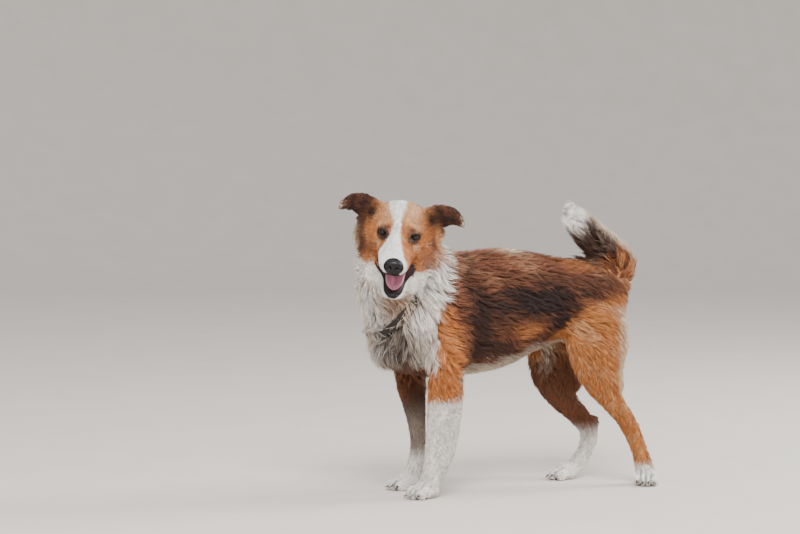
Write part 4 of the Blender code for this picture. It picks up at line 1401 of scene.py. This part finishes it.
def eyeMesh(side):
    # radius(turn from the gaze) = radius * (1 + bulge * bell), by turn from the gaze and turn about it
    centre = centreOf(side + "_eye")
    gaze = unit(np.array(eyeShape["gaze"]))
    aside = unit(np.cross((0, 0, 1), gaze))
    way = ballWays(eyeShape["rows"], eyeShape["columns"], 0.04)
    off = np.arccos(way[..., 2:])
    radius = eyeShape["radius"] * (1 + eyeShape["bulge"] * np.exp(-((off / eyeShape["bulgeWidth"]) ** 2)))
    points, faces = closedTube(centre + radius * way @ np.stack([aside, np.cross(gaze, aside), gaze]))
    mesh = outward(meshFrom(side + "_eyeball", points, faces))
    placed = points - centre
    away = np.linalg.norm(placed - (placed @ gaze)[:, None] * gaze, axis=1)
    setNumber(mesh, "fromPupil", away + (placed @ gaze < 0) * 0.02)  # the back counts as far off
    return mesh


irisColours = {
    # distance from the middle in centimetres, and colour: iris, its dark edge, then the white's brown rim
    0.50: (50, 27, 17), 0.66: (42, 22, 14), 0.79: (16, 9, 8), 0.88: (28, 20, 18), 1.0: (80, 64, 58),
}


def eyeFinish():
    look = Finish("brown eye", specular=0.1, coat=0.4, coatRoughness=0.03)
    rays = look.noise(1400.0, 2)
    ramp = look.node("ShaderNodeValToRGB", Fac=look.attribute("fromPupil", 2) * 100 + 0.04 * rays)
    stops = ramp.socket.node.color_ramp.elements
    stops[0].position, stops[0].color = eyeShape["pupil"] * 100, (0.002, 0.0015, 0.0015, 1)
    for index, (where, colour) in enumerate(irisColours.items()):
        stop = stops.new(where) if index else stops[1]
        stop.position, stop.color = where, paint(*colour)
    look.link(ramp, "Base Color")
    return look.material


def lidMesh(side):
    # rings from the almond opening, which lies on the eye, out to the skin: a roll at the rim, then a fold
    centre, out, across, upward = eyeAxes(side)
    about = turns(lidShape["columns"])
    wide, high = lidReach(np.cos(about), np.sin(about))
    ball = eyeShape["radius"] + lidShape["over"]

    def onBall(grow, lift):
        x = wide * np.cos(about) * grow
        y = high * np.sign(np.sin(about)) * np.abs(np.sin(about)) ** 1.2 * grow
        depth = np.sqrt(np.maximum(ball**2 - np.minimum(x**2 + y**2, (0.96 * ball) ** 2), 0)) + lift
        return centre + depth[:, None] * out + x[:, None] * across + y[:, None] * upward

    rim = onBall(1.0, 0.0)
    beyond = unit((rim - centre) - ((rim - centre) @ out)[:, None] * out)
    near, normal, _ = nearestOn(bodyTree, rim + beyond * lidShape["width"])
    rest = near - normal * lidShape["sunk"]
    part = np.linspace(0, 1, lidShape["rows"])[:, None, None]
    roll = np.sin(math.pi * np.clip(part * 2.6, 0, 1)) + 0.55 * np.sin(math.pi * part) ** 2
    roll = lidShape["roll"] * roll
    upper = np.maximum(np.sin(about), 0)[None, :, None]
    fold = lidShape["fold"] * upper * np.exp(-(((part - lidShape["foldAt"]) / lidShape["foldWide"]) ** 2))
    outside = rim * (1 - part) + rest * part + out * (roll - fold)
    fromEye = np.linalg.norm(outside - centre, axis=-1, keepdims=True)
    outside = centre + (outside - centre) * np.maximum(1, (ball + 0.0003 + roll - fold) / fromEye)
    under = outside[::-1][:-1] - out * lidShape["thick"]
    first, last = (onBall(*tuck) for tuck in lidShape["tucks"])  # hidden edges inside the opening
    rings = np.concatenate([[first], outside, under, [last]])
    faces = hoopFaces(*rings.shape[:2])
    points = rings.reshape(-1, 3)
    mesh = outward(meshFrom(side + "_lids", points, faces))
    away = np.concatenate([[0], part.ravel(), part.ravel()[::-1][:-1], [0]])
    setNumber(mesh, "rim", np.repeat(away, lidShape["columns"]))
    setColour(mesh, "tint", headColour(points, np.zeros(len(points))))
    return mesh


def lidFinish():
    look = Finish("dark eye rim", roughness=0.65, specular=0.15)
    fine = look.noise(1100.0)
    spread = look.node("ShaderNodeMapRange", {"interpolation_type": "SMOOTHSTEP"}, FromMin=0.34, FromMax=0.90,
                       Value=look.attribute("rim", 2) + (fine - 0.5) * 0.25)
    look.link(look.mixColour(spread, paint(21, 15, 14), look.attribute("tint")), "Base Color")
    look.bump(fine, 0.6, 0.0005)
    return look.material


eyeLook, lidLook = eyeFinish(), lidFinish()
for side in sides:
    addPiece(side + "_eyeball", eyeMesh(side), eyeLook, [side + "_eye"])
    addPiece(side + "_eyelids", lidMesh(side), lidLook)
print("eyes done")


# nose leather: a rounded block with two comma-shaped nostrils and a groove below

noseShape = {
    "rows": 72, "columns": 96, "radii": (0.0143, 0.0192, 0.0162), "square": 2.7, "fill": 0.93,
    # middle and reach of each dent by direction, and its depth; the top is raised
    "nostril": ((0.80, 0.47, 0.02), (0.5, 0.19, 0.26), 0.50),
    "slit": ((0.55, 0.84, -0.20), (0.30, 0.22, 0.10), 0.22),
    "groove": ((0.90, 0.0, -0.45), (0.5, 0.05, 0.50), 0.07),
    "top": ((0.5, 0.0, 0.8), (0.5, 0.30, 0.4), -0.03),
}


def noseMesh():
    # radius by direction: an ellipsoid squared off a little, less a bell at each nostril, slit and groove
    way = np.roll(ballWays(noseShape["rows"], noseShape["columns"], 0.02), 1, axis=-1)
    square = (np.abs(way) ** noseShape["square"]).sum(axis=-1) ** (-1 / noseShape["square"])
    mirrored = np.abs(way) * (0, 1, 0) + way * (1, 0, 1)
    dents = {name: bell(mirrored, *noseShape[name][:2]) for name in ("nostril", "slit", "groove", "top")}
    radius = noseShape["fill"] * square * (1 - sum(noseShape[name][2] * dent for name, dent in dents.items()))
    rings = toHead(centreOf("nose")) + way * np.array(noseShape["radii"]) * radius[..., None]
    mesh = outward(meshFrom("nose_leather", *closedTube(fromHead(rings))))
    nostrilShade = np.clip(dents["nostril"] * 1.3 + dents["slit"] * 0.6, 0, 1)
    setNumber(mesh, "nostrilShade", np.append(nostrilShade.ravel(), [0, 0]))
    return mesh


def noseFinish():
    look = Finish("moist black leather", specular=0.24, coat=0.10, coatRoughness=0.2)
    pebbles = look.cells(620.0, "SMOOTH_F1")
    look.link(0.28 + 0.3 * pebbles, "Roughness")
    # painted shade in the nostrils and their slits
    look.link(look.mixColour(look.attribute("nostrilShade", 2), paint(21, 18, 20), paint(4, 3, 4)), "Base Color")
    look.bump(pebbles, 0.45, 0.0007)
    return look.material


addPiece("nose_leather", noseMesh(), noseFinish(), ["nose"])


# lips: dark rolls along the edges of the muzzle and of the jaw, which meet at the corners of the mouth

lipShape = {
    # along the head, aside and up, from the middle of the front to the corner
    "upper": ((0.103, 0.0, -0.0440), (0.096, 0.0120, -0.0450), (0.080, 0.0225, -0.0480),
              (0.055, 0.0265, -0.0500), (0.030, 0.0310, -0.0530), (0.014, 0.0390, -0.0560),
              (0.008, 0.0440, -0.0585)),
    # the same for the jaw, drawn closed, and then for the corner of the open mouth
    "lower": ((0.0940, 0.0, -0.0565), (0.0870, 0.0130, -0.0540), (0.0730, 0.0205, -0.0510),
              (0.0500, 0.0245, -0.0495), (0.0280, 0.0285, -0.0480)),
    "corner": ((0.0140, 0.0395, -0.0690), (0.0080, 0.0445, -0.0605)),
    "thick": 0.0017, "lift": 0.0003, "columns": 10, "rows": 60,
}


def lipTube(sideName, which):
    # a small circle carried along a smooth line that has been laid on the skin
    mirror = (1, sides[sideName], 1)
    line = np.array(lipShape[which]) * mirror
    if which == "lower":
        line = jawToHead(line + (0, headShape["jawAside"], 0))
        line = np.vstack([line, np.array(lipShape["corner"]) * mirror])
    place = fromHead(line)
    gone = np.concatenate([[0], np.cumsum(np.linalg.norm(np.diff(place, axis=0), axis=1))])
    wanted = np.linspace(0, gone[-1], lipShape["rows"])
    path = softened(np.stack([np.interp(wanted, gone, place[:, k]) for k in range(3)], -1), 30)
    touch, normal, _ = nearestOn(bodyTree, path)
    touch, normal = softened(touch, 6), softened(normal, 6)
    path = touch + unit(normal) * lipShape["lift"]
    along = unit(np.gradient(path, axis=0))
    side = unit(np.cross(along, normal))
    up = np.cross(side, along)
    part = np.linspace(0, 1, lipShape["rows"])[:, None]
    radius = lipShape["thick"] * (0.65 + 0.5 * part) * (1 - 0.8 * smoothStep(0.93, 1.0, part))
    about = turns(lipShape["columns"])[None, :]
    return closedTube(path[:, None, :] + (radius * 1.25 * np.cos(about))[..., None] * side[:, None, :]
                      + (radius * 0.9 * np.sin(about))[..., None] * up[:, None, :])


lipBase = Finish("dark lip", roughness=0.48, specular=0.3)
lipLook = grained(lipBase, lipBase.noise(700.0), (17, 12, 13), (40, 28, 28), 0.4, 0.0005)
for which in ("upper", "lower"):
    tubes = joined([lipTube(side, which) for side in sides])
    addPiece(which + "_lips", outward(meshFrom(which + "_lips", *tubes)), lipLook)
print("lips done")


# tongue: a flat tapering tube in the lower jaw, with a groove along its middle

tongueShape = {
    "along": (-0.020, 0.020, 0.050, 0.068, 0.078),
    "height": (-0.0475, -0.0465, -0.0450, -0.0455, -0.0475),
    "half": (0.0240, 0.0215, 0.0185, 0.0170, 0.0150),
    "thick": (0.0055, 0.0060, 0.0056, 0.0046, 0.0022),
    "rows": 60, "columns": 48, "tip": 0.030, "groove": 0.0022, "grooveWide": 0.0035, "dish": 9.0,
}


def tongueMesh():
    # a stretched circle carried along the jaw: half width and thickness by length, a groove by breadth
    steps = tongueShape["along"]
    along = steps[0] + np.sin(np.linspace(0, math.pi / 2, tongueShape["rows"])) * (steps[-1] - steps[0])
    half, height, thick = (np.interp(along, steps, tongueShape[key])[:, None]
                           for key in ("half", "height", "thick"))
    beyond = np.clip(1 - (steps[-1] - along) / tongueShape["tip"], 0, 1)[:, None]
    about = turns(tongueShape["columns"])
    y = half * np.sqrt(1.0005 - beyond**2.4) * np.cos(about)  # with a round tip
    groove = tongueShape["groove"] * np.exp(-((y / tongueShape["grooveWide"]) ** 2))
    z = height + thick * np.sin(about) + (tongueShape["dish"] * y**2 - groove) * (np.sin(about) > 0)
    rings = np.stack([along[:, None] + 0 * y, y + headShape["jawAside"], z], -1)
    return outward(meshFrom("tongue_surface", *closedTube(fromHead(jawToHead(rings)))))


def tongueFinish():
    look = Finish("moist tongue", roughness=0.32, specular=0.5, coat=0.35, coatRoughness=0.2, subsurface=0.25,
                  scatter=0.004)
    look.link(look.mixColour(look.noise(90.0), paint(158, 92, 112), paint(188, 122, 138)), "Base Color")
    look.bump(look.cells(900.0), 0.35, 0.0005)
    return look.material


addPiece("tongue_surface", tongueMesh(), tongueFinish(), ["tongue"])
print("nose and tongue done")


# claws and pads of the four feet, placed from the dimensions of the model's paws

clawShape = {"inner": 0.0405, "outer": 0.0295, "apart": 0.0132, "height": 0.0130, "thick": 0.0031,
             "tip": 0.0002, "length": 0.0118, "drop": 0.55, "startBend": 0.15, "bend": 0.9, "rows": 10,
             "columns": 10}
padShape = {"inner": 0.029, "outer": 0.018, "apart": 0.0120, "height": 0.0040, "mainAt": -0.004,
            "toe": (0.0075, 0.0055, 0.0038), "main": (0.0130, 0.0150, 0.0045), "floor": 0.0003}


def clawMesh(name):
    # a circle that shrinks to a point along an arc bending down to the floor
    parts = []
    part = np.linspace(0, 1, clawShape["rows"])[:, None]
    about = turns(clawShape["columns"])
    radius = clawShape["thick"] * (1 - part**1.6) + clawShape["tip"]
    bend = clawShape["startBend"] + clawShape["bend"] * part
    for toe in toePlaces:
        x = startOf(clawShape, toe) + 0.9 * clawShape["length"] * np.sin(bend) / np.sin(bend[-1]) * part
        y = clawShape["apart"] * toe * (1 + 0.05 * part) + 0.8 * radius * np.cos(about)
        z = clawShape["height"] - clawShape["length"] * clawShape["drop"] * part**1.5 + radius * np.sin(about)
        parts.append(closedTube(pawPlace(name, ways(x, y, z))))
    return outward(meshFrom("claws_" + name, *joined(parts)))


def padMesh(name):
    # low domes, flattened at the floor: four for the toes and a broad one behind
    middles = [(startOf(padShape, toe), padShape["apart"] * toe, "toe") for toe in toePlaces]
    parts = []
    for x, y, kind in middles + [(padShape["mainAt"], 0.0, "main")]:
        rings = np.array([x, y, padShape["height"]]) + ballWays(14, 20) * np.array(padShape[kind])
        rings[..., 2] = np.maximum(rings[..., 2], padShape["floor"])
        parts.append(closedTube(pawPlace(name, rings)))
    return outward(meshFrom("pads_" + name, *joined(parts)))


hornBase = Finish("dark horn", roughness=0.38, specular=0.45)
hornLook = grained(hornBase, hornBase.noise(420.0), (38, 31, 28), (84, 70, 60), 0.3, 0.0004)
padBase = Finish("rough pad leather", roughness=0.75, specular=0.3)
padLook = grained(padBase, padBase.cells(700.0), (40, 34, 32), (78, 66, 60), 0.6, 0.0006)
for paw in pawShape:
    addPiece("claws_" + paw, clawMesh(paw), hornLook)
    addPiece("pads_" + paw, padMesh(paw), padLook)
print("feet done")


# collar: a strap with rounded edges that follows the model's ring

def collarMesh():
    # a rounded flat section carried round the neck at the distance of the model's ring, less its sinking
    about = turns(collarShape["columns"]) - math.pi
    section = turns(collarShape["around"])
    across, depth = (np.sign(wave) * np.abs(wave) ** collarShape["corners"]
                     for wave in (np.cos(section), np.sin(section)))
    wide = across * strapHalf
    radius = strapTop(about[:, None], wide[None, :]) + (depth - 1) * collarShape["thick"] / 2
    points = (strapMiddle + wide[None, :, None] * strapAlong
              + (radius * np.cos(about)[:, None])[..., None] * strapAside
              + (radius * np.sin(about)[:, None])[..., None] * strapUp)
    mesh = outward(meshFrom("collar_strap", points.reshape(-1, 3), hoopFaces(*radius.shape)))
    setNumber(mesh, "across", np.tile(across, len(about)))
    setNumber(mesh, "about", np.repeat(about, len(section)))
    return mesh


def strapFinish():
    look = Finish("dark woven strap", roughness=0.7, specular=0.3)
    across, about = look.attribute("across", 2), look.attribute("about", 2)
    look.link(look.mixColour(look.noise(60.0, 4), paint(20, 18, 17), paint(50, 43, 38)), "Base Color")
    look.bump((about * 190.0).sine() * (across * 22.0).sine(), 0.5, 0.0005)
    return look.material


addPiece("collar_strap", collarMesh(), strapFinish(), ["collar"])
print("collar done")


# floor, light and camera

stageShape = {"flat": 7.0, "bend": 4.0, "columns": 96}


def stageMesh():
    # a bowl: a flat disc whose edge turns up in a quarter circle, carried once round
    up = np.linspace(0, math.pi / 2, 16)
    reach = np.concatenate([[0.4, 2.0, 4.0], stageShape["flat"] + stageShape["bend"] * np.sin(up)])
    rise = np.concatenate([[0, 0, 0], stageShape["bend"] * (1 - np.cos(up))])
    about = turns(stageShape["columns"])
    rings = ways(reach[:, None] * np.cos(about), reach[:, None] * np.sin(about), rise[:, None])
    points = np.vstack([rings.reshape(-1, 3), [[0, 0, 0]]])
    column = np.arange(len(about))
    middle = np.stack([np.full(len(about), len(points) - 1), column, (column + 1) % len(about)], -1)
    return meshFrom("floor", points, np.vstack([gridFaces(*rings.shape[:2])[:, ::-1], middle]))


def addStage():
    look = Finish("pale floor", roughness=0.9, specular=0.1)
    look.link(look.mixColour(look.noise(6.0, 4), paint(206, 197, 189), paint(216, 208, 200)), "Base Color")
    floor = bpy.data.objects.new("floor", stageMesh())
    floor.data.materials.append(look.material)
    floor.data.shade_smooth()
    bpy.context.scene.collection.objects.link(floor)


lights = {
    # place, what it points at, size and power in watts
    "key": ((2.6, -1.0, 3.4), (0.0, 0.0, 0.35), 1.9, 225),
    "fill": ((1.5, -4.2, 1.8), (0.0, -0.1, 0.35), 2.5, 68),
    "rim": ((0.6, 3.2, 2.4), (0.0, 0.0, 0.40), 1.5, 150),
}


def addLights():
    for name, (place, target, size, power) in lights.items():
        data = bpy.data.lights.new(name, "AREA")
        data.size = size
        data.energy = power
        lamp = bpy.data.objects.new(name, data)
        lamp.location = place
        lamp.rotation_euler = (Vector(target) - Vector(place)).to_track_quat("-Z", "Y").to_euler()
        bpy.context.scene.collection.objects.link(lamp)
    world = bpy.data.worlds.new("studio")
    world.use_nodes = True
    world.node_tree.nodes["Background"].inputs["Color"].default_value = (0.95, 0.97, 1.0, 1)
    world.node_tree.nodes["Background"].inputs["Strength"].default_value = 1.0
    bpy.context.scene.world = world


cameraShape = {"place": (3.90315, -2.21709, 0.71), "azimuth": 63.0, "down": 3.0, "lens": 95.0}


def addCamera():
    data = bpy.data.cameras.new("camera")
    data.lens = cameraShape["lens"]
    data.sensor_width = 36.0
    camera = bpy.data.objects.new("camera", data)
    turn, down = math.radians(cameraShape["azimuth"]), math.radians(cameraShape["down"])
    camera.location = cameraShape["place"]
    back = Vector((math.sin(turn) * math.cos(down), -math.cos(turn) * math.cos(down), math.sin(down)))
    camera.rotation_mode = "QUATERNION"
    camera.rotation_quaternion = (-back).to_track_quat("-Z", "Y")
    bpy.context.scene.collection.objects.link(camera)
    bpy.context.scene.camera = camera


addStage()
addLights()
addCamera()
